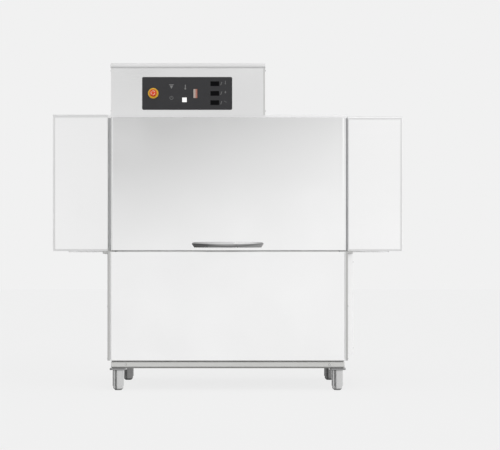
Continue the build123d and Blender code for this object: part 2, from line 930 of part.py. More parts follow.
# Controls: places on the panel, all measured from the machine's centre line
estop_x = -430.0
estop_z = panel_bottom + 95.0
estop_ring_radius = 30.0
estop_ring_depth = 3.0
estop_stem_radius = 12.0
estop_head_radius = 20.0
estop_head_depth = 12.0
estop_travel = 5.0
key_size = 26.0
key_gap = 0.4
key_travel = 2.0
key_proud = 2.5
key_place = (-250.0, panel_bottom + 57.0)
lamp_place = (-187.0, panel_bottom + 93.0)
lamp_size = (22.0, 52.0)
display_size = (50.0, 27.0)
display_places = [(-75.0, panel_bottom + height) for height in (150.0, 94.0, 41.0)]
panel_front = box_y0 - panel_thickness
pocket_depth = 1.5

with BuildPart() as control_panel:
    with BuildSketch(Plane.XZ.offset(-box_y0)) as panel_outline:
        with Locations((panel_x, panel_z)):
            RectangleRounded(panel_width, panel_height, panel_corner)
        with Locations((estop_x, estop_z)):
            Circle(estop_stem_radius + running_clearance, mode=Mode.SUBTRACT)
        with Locations(key_place):
            Rectangle(
                key_size + 2 * key_gap, key_size + 2 * key_gap, mode=Mode.SUBTRACT
            )
    extrude(panel_outline.sketch, amount=panel_thickness)
    chamfer(control_panel.faces().sort_by(Axis.Y)[0].outer_wire().edges(), 1)
    with BuildSketch(Plane.XZ.offset(-panel_front)) as pockets:
        with Locations(*display_places):
            Rectangle(display_size[0] + 0.2, display_size[1] + 0.2)
        with Locations(lamp_place):
            Rectangle(lamp_size[0] + 0.2, lamp_size[1] + 0.2)
    extrude(pockets.sketch, amount=-pocket_depth, mode=Mode.SUBTRACT)
save(control_panel, "control_panel")

with BuildPart() as display_windows:
    with BuildSketch(Plane.XZ.offset(-(panel_front + pocket_depth))) as windows:
        with Locations(*display_places):
            Rectangle(*display_size)
    extrude(windows.sketch, amount=pocket_depth + 0.5)
save(display_windows, "display_windows")

with BuildPart() as signal_lamp:
    with BuildSketch(Plane.XZ.offset(-(panel_front + pocket_depth))) as lens:
        with Locations(lamp_place):
            Rectangle(*lamp_size)
    extrude(lens.sketch, amount=pocket_depth + 3)
    chamfer(signal_lamp.faces().sort_by(Axis.Y)[0].edges(), 1.2)
save(signal_lamp, "signal_lamp")

# The key slides in a frame behind the panel, and the stop button in a socket
grid_depth = 10.0
with BuildPart() as switch_housings:
    with BuildSketch(Plane.XZ.offset(-box_y0)) as grid:
        with Locations(key_place):
            Rectangle(key_size + 14, key_size + 14)
        with Locations(key_place):
            Rectangle(
                key_size + 2 * key_gap, key_size + 2 * key_gap, mode=Mode.SUBTRACT
            )
    extrude(grid.sketch, amount=-grid_depth)
    with BuildSketch(Plane.XZ.offset(-(box_y0 + grid_depth))) as backing:
        with Locations(key_place):
            Rectangle(key_size + 14, key_size + 14)
    extrude(backing.sketch, amount=-2)
    with BuildSketch(Plane.XZ.offset(-box_y0)) as socket:
        with Locations((estop_x, estop_z)):
            Circle(18)
            Circle(estop_stem_radius + running_clearance, mode=Mode.SUBTRACT)
    extrude(socket.sketch, amount=-30)
    with BuildSketch(Plane.XZ.offset(-(box_y0 + 30))) as socket_end:
        with Locations((estop_x, estop_z)):
            Circle(18)
    extrude(socket_end.sketch, amount=-3)
save(switch_housings, "switch_housings")

with BuildPart() as start_key:
    with BuildSketch(Plane.XZ.offset(-(panel_front - key_proud))) as key_face:
        with Locations(key_place):
            Rectangle(key_size, key_size)
    depth = panel_thickness + key_proud + grid_depth - key_travel - 0.3
    extrude(key_face.sketch, amount=-depth)
    chamfer(start_key.faces().sort_by(Axis.Y)[0].edges(), 0.8)
save(start_key, "start_key")

with BuildPart() as estop_ring:
    with BuildSketch(Plane.XZ.offset(-panel_front)) as ring_face:
        with Locations((estop_x, estop_z)):
            Circle(estop_ring_radius)
            Circle(estop_stem_radius + running_clearance, mode=Mode.SUBTRACT)
    extrude(ring_face.sketch, amount=estop_ring_depth)
    chamfer(estop_ring.faces().sort_by(Axis.Y)[0].outer_wire().edges(), 1)
save(estop_ring, "estop_ring")

ring_front = panel_front - estop_ring_depth
head_back = ring_front - estop_travel - 1.0
spindle_radius = 6.0
with BuildPart() as estop_stem:
    toward_front = (0, -1, 0)
    stem_back = box_y0 + 14
    rod(
        (estop_x, stem_back, estop_z),
        estop_stem_radius,
        stem_back - head_back,
        toward_front,
    )
    rod((estop_x, head_back, estop_z), spindle_radius, 8, toward_front)
save(estop_stem, "estop_stem")

with BuildPart() as estop_head:
    rod((estop_x, head_back, estop_z), estop_head_radius, estop_head_depth, toward_front)
    chamfer(estop_head.faces().sort_by(Axis.Y)[0].edges(), 3)
    chamfer(estop_head.faces().sort_by(Axis.Y)[-1].edges(), 1)
    rod(
        (estop_x, head_back, estop_z),
        spindle_radius + running_clearance,
        8.3,
        toward_front,
        mode=Mode.SUBTRACT,
    )
    with BuildSketch(Plane.XZ.offset(-(head_back - estop_head_depth))) as arrows:
        with Locations((estop_x, estop_z)):
            with PolarLocations(12, 3):
                Rectangle(8, 2, rotation=90)
    extrude(arrows.sketch, amount=-0.8, mode=Mode.SUBTRACT)
save(estop_head, "estop_head")


# ================================================================ rack conveyor
rail_sheet = 2.0
rail_ledge = 25.0
rail_upstand = 12.0
rail_inner = rack_width / 2 + rack_clearance
rail_half_length = half_width + hood_length - 10.0
crossbar_x = 300.0
crossbar_width = 30.0
crossbar_height = 6.0
bar_y = track_y + 162.0
bar_bottom = track_height - 42.0
bar_height = 20.0
bar_width = 12.0
bar_half_length = 500.0
slide_clearance = 0.5

with BuildPart() as track_rails:
    for side in (-1, 1):
        web = track_y + side * rail_inner
        outside = web + side * rail_sheet
        inside = web - side * rail_ledge
        with BuildSketch(Plane.YZ.offset(-rail_half_length)) as rail_section:
            with BuildLine():
                Polyline(
                    (outside, tunnel_sill),
                    (outside, track_height + rail_upstand),
                    (web, track_height + rail_upstand),
                    (web, track_height),
                    (inside, track_height),
                    (inside, track_height - rail_sheet),
                    (web, track_height - rail_sheet),
                    (web, tunnel_sill + rail_sheet),
                    (inside, tunnel_sill + rail_sheet),
                    (inside, tunnel_sill),
                    close=True,
                )
            make_face()
        extrude(rail_section.sketch, amount=2 * rail_half_length)
    for x in (-crossbar_x, crossbar_x):
        bar_x = (x - crossbar_width / 2, x + crossbar_width / 2)
        block(
            bar_x,
            (track_y - rail_inner, track_y + rail_inner),
            (tunnel_sill - crossbar_height, tunnel_sill),
        )
        guide = bar_width / 2 + slide_clearance
        block(
            bar_x,
            (bar_y - guide - 5, bar_y + guide + 5),
            (tunnel_sill, bar_bottom + bar_height - 4),
        )
        block(
            bar_x,
            (bar_y - guide, bar_y + guide),
            (bar_bottom - slide_clearance, bar_bottom + bar_height),
            mode=Mode.SUBTRACT,
        )
save(track_rails, "track_rails")

lever_length = drive_y - bar_y
lever_width = 30.0
lever_bottom = tunnel_sill - 23.0
lever_thickness = 8.0
drive_pin_radius = 6.0
fork_clearance = 2.5
fork_swing = 19.0  # how far the pin comes back along the fork at full swing
fork_depth = 12.0

pawl_pitch = 300.0
pawl_places = [-450.0, -150.0, 150.0, 450.0]
pawl_pivot_z = bar_bottom + 14.0
pawl_pin_radius = 3.0
pawl_thickness = 8.0
pawl_gap = 0.5
pawl_tip = 40.0
pawl_tail = 34.0
stop_radius = 2.0
pawl_face = bar_y - bar_width / 2 - pawl_gap

with BuildPart() as pawl_bar:
    block(
        (-bar_half_length, bar_half_length),
        (bar_y - bar_width / 2, bar_y + bar_width / 2),
        (bar_bottom, bar_bottom + bar_height),
    )
    block(
        (drive_x - 22, drive_x + 22),
        (bar_y - 16, bar_y + fork_swing + 18),
        (bar_bottom - fork_depth, bar_bottom),
    )
    fork_half = drive_pin_radius + fork_clearance
    block(
        (drive_x - fork_half, drive_x + fork_half),
        (bar_y - fork_half, bar_y + fork_swing + fork_half),
        (bar_bottom - fork_depth, bar_bottom),
        mode=Mode.SUBTRACT,
    )
    toward_front = (0, -1, 0)
    for x in pawl_places:
        start = (x, bar_y - bar_width / 2, pawl_pivot_z)
        reach = pawl_gap + pawl_thickness + pawl_gap
        rod(start, pawl_pin_radius, reach + 1.5, toward_front)
        head = (x, bar_y - bar_width / 2 - reach, pawl_pivot_z)
        rod(head, pawl_pin_radius + 1.5, 1.5, toward_front)
        stop_z = pawl_pivot_z - 8 - stop_radius - 0.1
        stop = (x - pawl_tail + 6, bar_y - bar_width / 2, stop_z)
        rod(stop, stop_radius, reach, toward_front)
save(pawl_bar, "pawl_bar")

for index, x in enumerate(pawl_places, start=1):
    with BuildPart() as pawl:
        with BuildSketch(Plane.XZ.offset(-pawl_face)) as pawl_outline:
            with Locations((x, pawl_pivot_z)):
                Circle(8)
            with BuildLine():
                Polyline(
                    (x - 4, pawl_pivot_z),
                    (x, pawl_pivot_z + pawl_tip),
                    (x + 7, pawl_pivot_z + pawl_tip),
                    (x + 7.5, pawl_pivot_z),
                    close=True,
                )
            make_face()
            with BuildLine():
                Polyline(
                    (x - pawl_tail, pawl_pivot_z - 8),
                    (x, pawl_pivot_z - 8),
                    (x, pawl_pivot_z + 4),
                    (x - pawl_tail, pawl_pivot_z + 4),
                    close=True,
                )
            make_face()
            with Locations((x, pawl_pivot_z)):
                Circle(pawl_pin_radius + running_clearance, mode=Mode.SUBTRACT)
        extrude(pawl_outline.sketch, amount=pawl_thickness)
        with BuildSketch(Plane.XZ.offset(-(pawl_face - pawl_thickness))) as weight:
            with Locations((x - pawl_tail + 10, pawl_pivot_z - 2)):
                Rectangle(20, 12)
        extrude(weight.sketch, amount=pawl_thickness)
    save(pawl, f"pawl_{index}")

gearbox_half = 44.0
gearbox_height = 94.0
deck_under = deck_top - deck_thickness
motor_radius = 40.0
motor_fin_count = 12
with BuildPart() as drive_lever:
    with BuildSketch(Plane.XY.offset(lever_bottom)) as arm:
        with Locations((drive_x, (drive_y + bar_y) / 2)):
            SlotCenterToCenter(lever_length, lever_width, rotation=90)
    extrude(arm.sketch, amount=lever_thickness)
    hub_z = lever_bottom - 5
    rod((drive_x, drive_y, hub_z), 22, lever_thickness + 12, (0, 0, 1))
    rod(
        (drive_x, drive_y, deck_under - 50),
        drive_shaft_radius,
        hub_z - deck_under + 50,
        (0, 0, 1),
    )
    pin_base = lever_bottom + lever_thickness
    rod(
        (drive_x, bar_y, pin_base),
        drive_pin_radius,
        bar_bottom - 2 - pin_base,
        (0, 0, 1),
    )
save(drive_lever, "drive_lever")

with BuildPart() as drive_gearmotor:
    block(
        (drive_x - gearbox_half, drive_x + gearbox_half),
        (drive_y - gearbox_half, drive_y + gearbox_half),
        (deck_under - gearbox_height, deck_under),
    )
    chamfer(drive_gearmotor.edges().filter_by(Axis.Z), 14)
    motor_z = deck_under - gearbox_height / 2
    along = (1, 0, 0)
    rod((drive_x, drive_y, motor_z), motor_radius, gearbox_half + 130, along)
    with BuildSketch(Plane.YZ.offset(drive_x + gearbox_half + 20)) as motor_fins:
        with Locations((drive_y, motor_z)):
            with PolarLocations(motor_radius, motor_fin_count):
                Rectangle(9, 3)
    extrude(motor_fins.sketch, amount=96)
    cowl = (drive_x + gearbox_half + 130, drive_y, motor_z)
    rod(cowl, motor_radius + 4, 26, along)
    rod(
        (drive_x, drive_y, deck_under - 50.5),
        drive_shaft_radius + running_clearance,
        51,
        (0, 0, 1),
        mode=Mode.SUBTRACT,
    )
save(drive_gearmotor, "drive_gearmotor")

# ================================================================ wash and rinse water
overflow_top = deck_top - 33.0
overflow_radius = 18.0
plug_depth = 11.5
tank_bottom = sump_z + sheet

with BuildPart() as overflow_pipe:
    rod(
        (overflow_x, overflow_y, tank_bottom - plug_depth),
        overflow_seat_radius - running_clearance,
        plug_depth,
        up,
    )
    seat = (overflow_x, overflow_y, tank_bottom)
    rod(seat, overflow_seat_radius + 4, 5, up)
    rod(seat, overflow_radius, overflow_top - tank_bottom, up)
    rod(
        (overflow_x, overflow_y, tank_bottom - plug_depth),
        overflow_radius - 2,
        overflow_top - tank_bottom + plug_depth,
        up,
        mode=Mode.SUBTRACT,
    )
    with BuildSketch(Plane.XZ.offset(-overflow_y)) as grip:
        with Locations((overflow_x, overflow_top - 2)):
            Circle(overflow_radius - 0.5)
            Circle(overflow_radius - 4, mode=Mode.SUBTRACT)
            with Locations((0, -20)):
                Rectangle(50, 40, mode=Mode.SUBTRACT)
    extrude(grip.sketch, amount=2, both=True)
save(overflow_pipe, "overflow_pipe")

filter_z = tank_corner_z + 0.4
filter_rim = 15.0
filter_gap = 0.8
filter_slot = (110.0, 8.0)
filter_pitch = (138.0, 58.0)
with BuildPart() as tank_filters:
    tray_half = tank_half - sheet - filter_gap
    tray_width = tank_y1 - tank_y0 - 2 * (sheet + filter_gap)
    with BuildSketch(Plane.XY.offset(filter_z)) as tray:
        with Locations((0, tank_y)):
            Rectangle(2 * tray_half, tray_width)
            Rectangle(filter_gap, tray_width, mode=Mode.SUBTRACT)
    extrude(tray.sketch, amount=filter_rim)
    with BuildSketch(Plane.XY.offset(filter_z + sheet)) as hollow:
        for side in (-1, 1):
            with Locations((side * tray_half / 2, tank_y)):
                Rectangle(tray_half - 4 * sheet, tray_width - 3 * sheet)
    extrude(hollow.sketch, amount=filter_rim, mode=Mode.SUBTRACT)
    with BuildSketch(Plane.XY.offset(filter_z)) as mesh:
        for side in (-1, 1):
            with Locations((side * tray_half / 2, tank_y)):
                with GridLocations(*filter_pitch, 4, 9):
                    Rectangle(*filter_slot)
        with Locations((overflow_x, overflow_y)):
            Circle(overflow_seat_radius + 14, mode=Mode.SUBTRACT)
    extrude(mesh.sketch, amount=sheet, mode=Mode.SUBTRACT)
    rod(
        (overflow_x, overflow_y, filter_z),
        overflow_seat_radius + 8,
        filter_rim,
        up,
        mode=Mode.SUBTRACT,
    )
save(tank_filters, "tank_filters")

pump_inlet_wall = 6.0
pump_volute_radius = 88.0
volute_z = (sump_z - 120.0, sump_z - 58.0)
pump_motor_radius = 66.0
impeller_radius = 62.0
impeller_cavity = 70.0
cavity_z = (volute_z[0] + 8.0, volute_z[1] - 8.0)
pump_shaft_radius = 10.0
outlet_z = (volute_z[0] + volute_z[1]) / 2
fin_count = 12
with BuildPart() as wash_pump:
    volute = (pump_x, pump_y, volute_z[0])
    rod(volute, pump_volute_radius, volute_z[1] - volute_z[0], up)
    chamfer(wash_pump.edges().group_by(Axis.Z)[-1], 10)
    rod((riser_x, pump_y, outlet_z), riser_radius + 4, 100, toward_back)
    neck = (pump_x, pump_y, volute_z[1])
    rod(neck, pump_inlet_radius + pump_inlet_wall, sump_z - volute_z[1], up)
    neck_flange = (pump_x, pump_y, sump_z - 8)
    rod(neck_flange, pump_inlet_radius + 14, 8, up)
    rod((pump_x, pump_y, floor_top), pump_motor_radius, volute_z[0] - floor_top, up)
    with BuildSketch(Plane.XY.offset(floor_top + 60)) as fins:
        with Locations((pump_x, pump_y)):
            with PolarLocations(pump_motor_radius + 2, fin_count):
                Rectangle(10, 4)
    extrude(fins.sketch, amount=volute_z[0] - floor_top - 97)
    with BuildSketch(Plane.XY.offset(floor_top)) as foot_plate:
        with Locations((pump_x, pump_y)):
            Rectangle(190, 190)
    extrude(foot_plate.sketch, amount=8)
    block(
        (pump_x - 50, pump_x + 50),
        (pump_y - pump_motor_radius - 46, pump_y - pump_motor_radius + 20),
        (floor_top + 90, floor_top + 190),
    )
    cavity = (pump_x, pump_y, cavity_z[0])
    rod(cavity, impeller_cavity, cavity_z[1] - cavity_z[0], up, mode=Mode.SUBTRACT)
    mouth = (pump_x, pump_y, cavity_z[0])
    rod(mouth, pump_inlet_radius, sump_z - cavity_z[0], up, mode=Mode.SUBTRACT)
    rod(
        (pump_x, pump_y, cavity_z[0] - 110),
        pump_shaft_radius + running_clearance,
        110,
        up,
        mode=Mode.SUBTRACT,
    )
save(wash_pump, "wash_pump")

vane_count = 6
with BuildPart() as pump_rotor:
    rod((pump_x, pump_y, cavity_z[0] - 108), pump_shaft_radius, 140, up)
    rod((pump_x, pump_y, cavity_z[0] + 4), impeller_radius, 5, up)
    with BuildSketch(Plane.XY.offset(cavity_z[0] + 8)) as vanes:
        with Locations((pump_x, pump_y)):
            with PolarLocations(impeller_radius / 2 + 6, vane_count):
                Rectangle(impeller_radius - 16, 4, rotation=35)
    extrude(vanes.sketch, amount=24)
    rod((pump_x, pump_y, cavity_z[0] + 4), 16, 30, up)
save(pump_rotor, "pump_rotor")

wash_arm_places = (-420.0, -240.0, 0.0, 330.0)
wash_arm_half = 200.0
wash_arm_section = 22.0
header_end = 26.0
header_section = 25.0
tee_section = 34.0
tee_half = 24.0
nozzle_slot = (3.0, 40.0, 3.0)
nozzle_count = 4


def tube_x(centre, half_length, section):
    """A square tube, closed at both ends, that runs along X."""
    with Locations(centre):
        return Box(2 * half_length, section, section)


with BuildPart() as wash_pipework:
    with BuildLine() as riser_line:
        FilletPolyline(
            (riser_x, pump_y + 100, outlet_z),
            (riser_x, riser_y, outlet_z),
            (riser_x, riser_y, upper_feed_z),
            (riser_x, chamber_y1 + 4, upper_feed_z),
            radius=42,
        )
    with BuildSketch(
        Plane(origin=(riser_x, pump_y + 100, outlet_z), z_dir=(0, 1, 0))
    ) as riser_section:
        Circle(riser_radius)
    sweep(riser_section.sketch, path=riser_line.line)
    header_mid = (min(wash_arm_places) + max(wash_arm_places)) / 2
    header_half = (max(wash_arm_places) - min(wash_arm_places)) / 2 + header_end
    for z, facing, feed_y in (
        (upper_feed_z, -1, chamber_y1 + 6),
        (lower_feed_z, 1, riser_y - 12),
    ):
        rod((riser_x, feed_y, z), feed_radius, feed_y - track_y, toward_front)
        rod((riser_x, chamber_y1 + 4, z), feed_radius + 4, 4, toward_front)
        tube_x((header_mid, track_y, z), header_half, header_section)
        tube_x((riser_x, track_y, z), tee_half, tee_section)
        for x in wash_arm_places:
            with Locations((x, track_y, z)):
                Box(wash_arm_section, 2 * wash_arm_half, wash_arm_section)
            # spray slots on the side that faces the racks
            step = 2 * wash_arm_half / nozzle_count
            slot_z = z + facing * (wash_arm_section / 2 - nozzle_slot[2] / 2)
            for index in range(nozzle_count):
                slot_y = track_y - wash_arm_half + (index + 0.5) * step
                with Locations((x, slot_y, slot_z)):
                    Box(*nozzle_slot, mode=Mode.SUBTRACT)
save(wash_pipework, "wash_pipework")

boiler_y = track_y + 160.0
boiler_radius = 100.0
boiler_z = (frame_top, sump_z + 5.0)
rinse_outlet_z = boiler_z[1] - 55.0
with BuildPart() as rinse_boiler:
    base = (inlet_x, boiler_y, boiler_z[0])
    rod(base, boiler_radius, boiler_z[1] - boiler_z[0], up)
    chamfer(rinse_boiler.edges().group_by(Axis.Z)[-1], 16)
    rod((inlet_x, boiler_y, floor_top), boiler_radius - 25, boiler_z[0] - floor_top, up)
    rod(
        (inlet_x, boiler_y + boiler_radius - 10, inlet_z),
        rinse_radius,
        back - boiler_y - boiler_radius + 10,
        toward_back,
    )
    rod((inlet_x, back - 24, inlet_z), 15, 24, toward_back)
    rod((inlet_x, back - 12, inlet_z), 7, 12, toward_back, mode=Mode.SUBTRACT)
    block(
        (inlet_x - 22, inlet_x + 22),
        (back - 80, back - 40),
        (inlet_z - 18, inlet_z + 55),
    )
save(rinse_boiler, "rinse_boiler")

rinse_nozzle_count = 4
with BuildPart() as rinse_pipework:
    with BuildLine() as rinse_line:
        FilletPolyline(
            (rinse_x, boiler_y + boiler_radius, rinse_outlet_z),
            (rinse_x, riser_y, rinse_outlet_z),
            (rinse_x, riser_y, upper_rinse_z),
            (rinse_x, track_y - wash_arm_half, upper_rinse_z),
            radius=30,
        )
    with BuildSketch(
        Plane(
            origin=(rinse_x, boiler_y + boiler_radius, rinse_outlet_z), z_dir=(0, 1, 0)
        )
    ) as rinse_section:
        Circle(rinse_feed_radius)
    sweep(rinse_section.sketch, path=rinse_line.line)
    lower_start = (rinse_x, riser_y, lower_rinse_z)
    lower_length = riser_y - track_y + wash_arm_half
    rod(lower_start, rinse_feed_radius, lower_length, toward_front)
    for z, facing in ((upper_rinse_z, -1), (lower_rinse_z, 1)):
        rod((rinse_x, chamber_y1 + 4, z), rinse_feed_radius + 6, 4, toward_front)
        for index in range(rinse_nozzle_count):
            step = 2 * (wash_arm_half - 20) / (rinse_nozzle_count - 1)
            nozzle_y = track_y - wash_arm_half + 20 + index * step
            with Locations((rinse_x, nozzle_y, z + facing * 6)):
                Box(7, 7, 12)
save(rinse_pipework, "rinse_pipework")

drain_radius = 27.0
with BuildPart() as drain_pipe:
    with BuildLine() as drain_line:
        FilletPolyline(
            (drain_x, overflow_y, sump_z),
            (drain_x, overflow_y, drain_z),
            (drain_x, back, drain_z),
            radius=70,
        )
    with BuildSketch(Plane.XY.offset(sump_z)) as drain_section:
        with Locations((drain_x, overflow_y)):
            Circle(drain_radius)
    sweep(drain_section.sketch, path=drain_line.line)
    rod(
        (drain_x, overflow_y, sump_z),
        overflow_seat_radius,
        60,
        (0, 0, -1),
        mode=Mode.SUBTRACT,
    )
    rod((drain_x, overflow_y, sump_z - 8), drain_radius + 10, 8, up)
    rod(
        (drain_x, overflow_y, sump_z - 8),
        overflow_seat_radius,
        8,
        up,
        mode=Mode.SUBTRACT,
    )
    rod((drain_x, back - 50, drain_z), drain_radius - 3, 50, (0, 1, 0), mode=Mode.SUBTRACT)
save(drain_pipe, "drain_pipe")

# ================================================================ small fittings
gland_drop = 26.0
with BuildPart() as cable_gland:
    with BuildSketch(Plane.XY.offset(frame_bottom + frame_wall)) as gland_nut:
        with Locations((gland_x, gland_y)):
            RegularPolygon(gland_radius + 6, 6)
    extrude(gland_nut.sketch, amount=-8)
    under = frame_bottom + frame_wall - 8
    rod((gland_x, gland_y, under), gland_radius + 3, gland_drop - 8, (0, 0, -1))
    chamfer(cable_gland.edges().group_by(Axis.Z)[0], 3)
    rod((gland_x, gland_y, floor_top - sheet), gland_radius - 0.05, sheet, up)
    with BuildSketch(Plane.XY.offset(floor_top)) as lock_nut:
        with Locations((gland_x, gland_y)):
            RegularPolygon(gland_radius + 5, 6)
    extrude(lock_nut.sketch, amount=5)
    bore = (gland_x, gland_y, under - gland_drop)
    rod(bore, gland_radius - 4, 2 * gland_drop + 10, up, mode=Mode.SUBTRACT)
save(cable_gland, "cable_gland")

frame_bolt_x = 583.0
with BuildPart() as frame_bolts:
    with BuildSketch(Plane.XZ.offset(-(face + strip_setback))) as bolt_heads:
        with Locations(
            (-frame_bolt_x, frame_bottom + frame_height / 2),
            (frame_bolt_x, frame_bottom + frame_height / 2),
        ):
            RegularPolygon(7, 6)
    extrude(bolt_heads.sketch, amount=4.5)
    chamfer(frame_bolts.faces().group_by(Axis.Y)[0].edges(), 0.8)
save(frame_bolts, "frame_bolts")
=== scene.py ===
"""Looks for a rack-conveyor dishwasher: finishes, printed symbols, fasteners and the studio.

Laid out as an add-on: property groups hold the sizes and colours, one operator makes
each group of pieces, and a panel in the sidebar lists them.
"""

import math

import bmesh
import bpy
from bpy.props import FloatProperty, PointerProperty, StringProperty
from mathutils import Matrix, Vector


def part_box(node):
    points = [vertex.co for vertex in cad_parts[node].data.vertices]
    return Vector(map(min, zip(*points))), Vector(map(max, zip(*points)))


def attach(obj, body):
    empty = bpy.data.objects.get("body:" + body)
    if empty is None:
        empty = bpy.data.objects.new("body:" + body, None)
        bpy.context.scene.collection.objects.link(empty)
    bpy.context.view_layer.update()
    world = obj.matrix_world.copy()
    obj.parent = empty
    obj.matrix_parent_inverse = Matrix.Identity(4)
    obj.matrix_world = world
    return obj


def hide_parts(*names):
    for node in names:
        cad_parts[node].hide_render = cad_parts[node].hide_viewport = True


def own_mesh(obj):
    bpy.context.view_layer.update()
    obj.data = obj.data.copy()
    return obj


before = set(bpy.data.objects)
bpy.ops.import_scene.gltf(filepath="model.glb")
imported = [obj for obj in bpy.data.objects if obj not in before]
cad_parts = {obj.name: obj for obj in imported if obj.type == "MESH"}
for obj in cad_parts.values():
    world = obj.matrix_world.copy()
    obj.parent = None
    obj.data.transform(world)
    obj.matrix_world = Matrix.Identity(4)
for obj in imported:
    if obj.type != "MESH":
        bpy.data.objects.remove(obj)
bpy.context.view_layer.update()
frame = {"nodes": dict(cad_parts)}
NODES = frame["nodes"]

bl_info = {
    "name": "Rack Dishwasher Looks",
    "version": (1, 0, 0),
    "blender": (4, 5, 0),
    "location": "View3D > Sidebar > Dishwasher",
    "description": "Finishes and small parts for a stainless rack-conveyor dishwasher",
    "category": "Object",
}

MM = 0.001
MACHINE = "machine"


# ---------------------------------------------------------------- small tools
def linear(hex_colour):
    """The linear RGBA of an sRGB hex colour."""
    text = hex_colour.lstrip("#")
    channels = [int(text[i : i + 2], 16) / 255 for i in (0, 2, 4)]
    curve = [c / 12.92 if c <= 0.04045 else ((c + 0.055) / 1.055) ** 2.4 for c in channels]
    return (*curve, 1.0)


def shade(colour, factor):
    """A linear colour made darker or lighter, but never past white."""
    return (*[min(channel * factor, 1.0) for channel in colour[:3]], 1.0)


def add_node(tree, kind, values=None, links=None, **settings):
    """Add a node, then set its properties, its socket values and its incoming links.

    A link comes from a node's first output, or from the one that a (node, output) pair names.
    """
    made = tree.nodes.new(kind)
    for key, value in settings.items():
        setattr(made, key, value)
    for key, value in (values or {}).items():
        made.inputs[key].default_value = value
    for key, source in (links or {}).items():
        start, output = source if isinstance(source, tuple) else (source, 0)
        tree.links.new(start.outputs[output], made.inputs[key])
    return made


def new_material(name):
    """An empty node material, its tree and the link that carries the object's coordinates."""
    material = bpy.data.materials.new(name)
    material.use_nodes = True
    tree = material.node_tree
    tree.nodes.clear()
    return material, tree, (add_node(tree, "ShaderNodeTexCoord"), "Object")


def dress(material, *nodes):
    """Give frame nodes their finish."""
    for node in nodes:
        mesh = NODES[node].data
        mesh.materials.clear()
        mesh.materials.append(material)


def finish_of(node):
    """The finish that a frame node wears."""
    return NODES[node].data.materials[0]


def new_object(name, data):
    """Put a new object in the scene."""
    made = bpy.data.objects.new(name, data)
    bpy.context.scene.collection.objects.link(made)
    return made


def mesh_object(name, bm, material, body=MACHINE):
    """Turn a bmesh into a flat-shaded piece that rides on a body."""
    bmesh.ops.recalc_face_normals(bm, faces=bm.faces)
    mesh = bpy.data.meshes.new(name)
    bm.to_mesh(mesh)
    bm.free()
    for face in mesh.polygons:
        face.use_smooth = False
    mesh.materials.append(material)
    piece = new_object(name, mesh)
    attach(piece, body)
    return piece


# ---------------------------------------------------------------- finishes
def brushed_sheet(name, hex_colour, roughness, spread, line_mm, bump=0.06):
    """Ground stainless sheet: fine horizontal lines, and soft patches from handling."""
    material, tree, place = new_material(name)
    # the grinding belt runs along the sheet, so the lines vary fast upwards only
    stretched = add_node(
        tree, "ShaderNodeMapping", {"Scale": (1.2, 6.0, 1 / (line_mm * MM) / 6)}, {"Vector": place}
    )
    lines = add_node(
        tree, "ShaderNodeTexNoise", {"Scale": 6.0, "Detail": 3.0, "Roughness": 0.6}, {"Vector": stretched}
    )
    patches = add_node(tree, "ShaderNodeTexNoise", {"Scale": 2.6}, {"Vector": place})
    base = linear(hex_colour)
    tint = add_node(
        tree, "ShaderNodeMix", {6: shade(base, 0.985), 7: shade(base, 1.015)}, {0: lines}, data_type="RGBA"
    )
    ground = add_node(
        tree, "ShaderNodeMapRange", {1: 0.25, 2: 0.75, 3: roughness - spread, 4: roughness + spread},
        {0: lines},
    )
    handled = add_node(tree, "ShaderNodeMapRange", {1: 0.3, 2: 0.7, 3: -0.02, 4: 0.03}, {0: patches})
    rough = add_node(tree, "ShaderNodeMath", links={0: ground, 1: handled}, operation="ADD")
    relief = add_node(tree, "ShaderNodeBump", {"Strength": bump, "Distance": 0.4 * MM}, {"Height": lines})
    shader = add_node(
        tree, "ShaderNodeBsdfPrincipled", {"Metallic": 1.0},
        {"Base Color": (tint, 2), "Roughness": rough, "Normal": relief},
    )
    add_node(tree, "ShaderNodeOutputMaterial", links={"Surface": shader})
    return material


def polished_steel(name, hex_colour, roughness, rear_colour=None):
    """Polished or machined steel with faint wiping marks.

    With a shade colour, what stands behind the middle gets that darker colour as painted shade,
    and so does a band at the top, under the rail, as painted shade too.
    """
    material, tree, place = new_material(name)
    wiped = add_node(
        tree, "ShaderNodeTexNoise", {"Scale": 38.0, "Detail": 4.0, "Roughness": 0.55}, {"Vector": place}
    )
    rough = add_node(
        tree, "ShaderNodeMapRange", {1: 0.3, 2: 0.75, 3: roughness * 0.75, 4: roughness * 1.4}, {0: wiped}
    )
    base = linear(hex_colour)
    colour = add_node(tree, "ShaderNodeMix", {6: shade(base, 0.94), 7: base}, {0: wiped}, data_type="RGBA")
    # painted shade: the rear half and a band at the top under the rail take the darker colour
    if rear_colour:
        axes = add_node(tree, "ShaderNodeSeparateXYZ", links={0: place})
        welded = add_node(tree, "ShaderNodeMapRange", {1: 0.108, 2: 0.118, 3: 0.0, 4: 0.8}, {0: (axes, "Z")})
        behind = add_node(tree, "ShaderNodeMapRange", {1: -0.05, 2: 0.05, 3: 0.0, 4: 1.0}, {0: (axes, "Y")})
        dull = add_node(tree, "ShaderNodeMath", links={0: behind, 1: welded}, operation="MAXIMUM")
        colour = add_node(
            tree, "ShaderNodeMix", {7: linear(rear_colour)}, {0: dull, 6: (colour, 2)}, data_type="RGBA"
        )
    shader = add_node(
        tree, "ShaderNodeBsdfPrincipled", {"Metallic": 1.0}, {"Base Color": (colour, 2), "Roughness": rough}
    )
    add_node(tree, "ShaderNodeOutputMaterial", links={"Surface": shader})
    return material


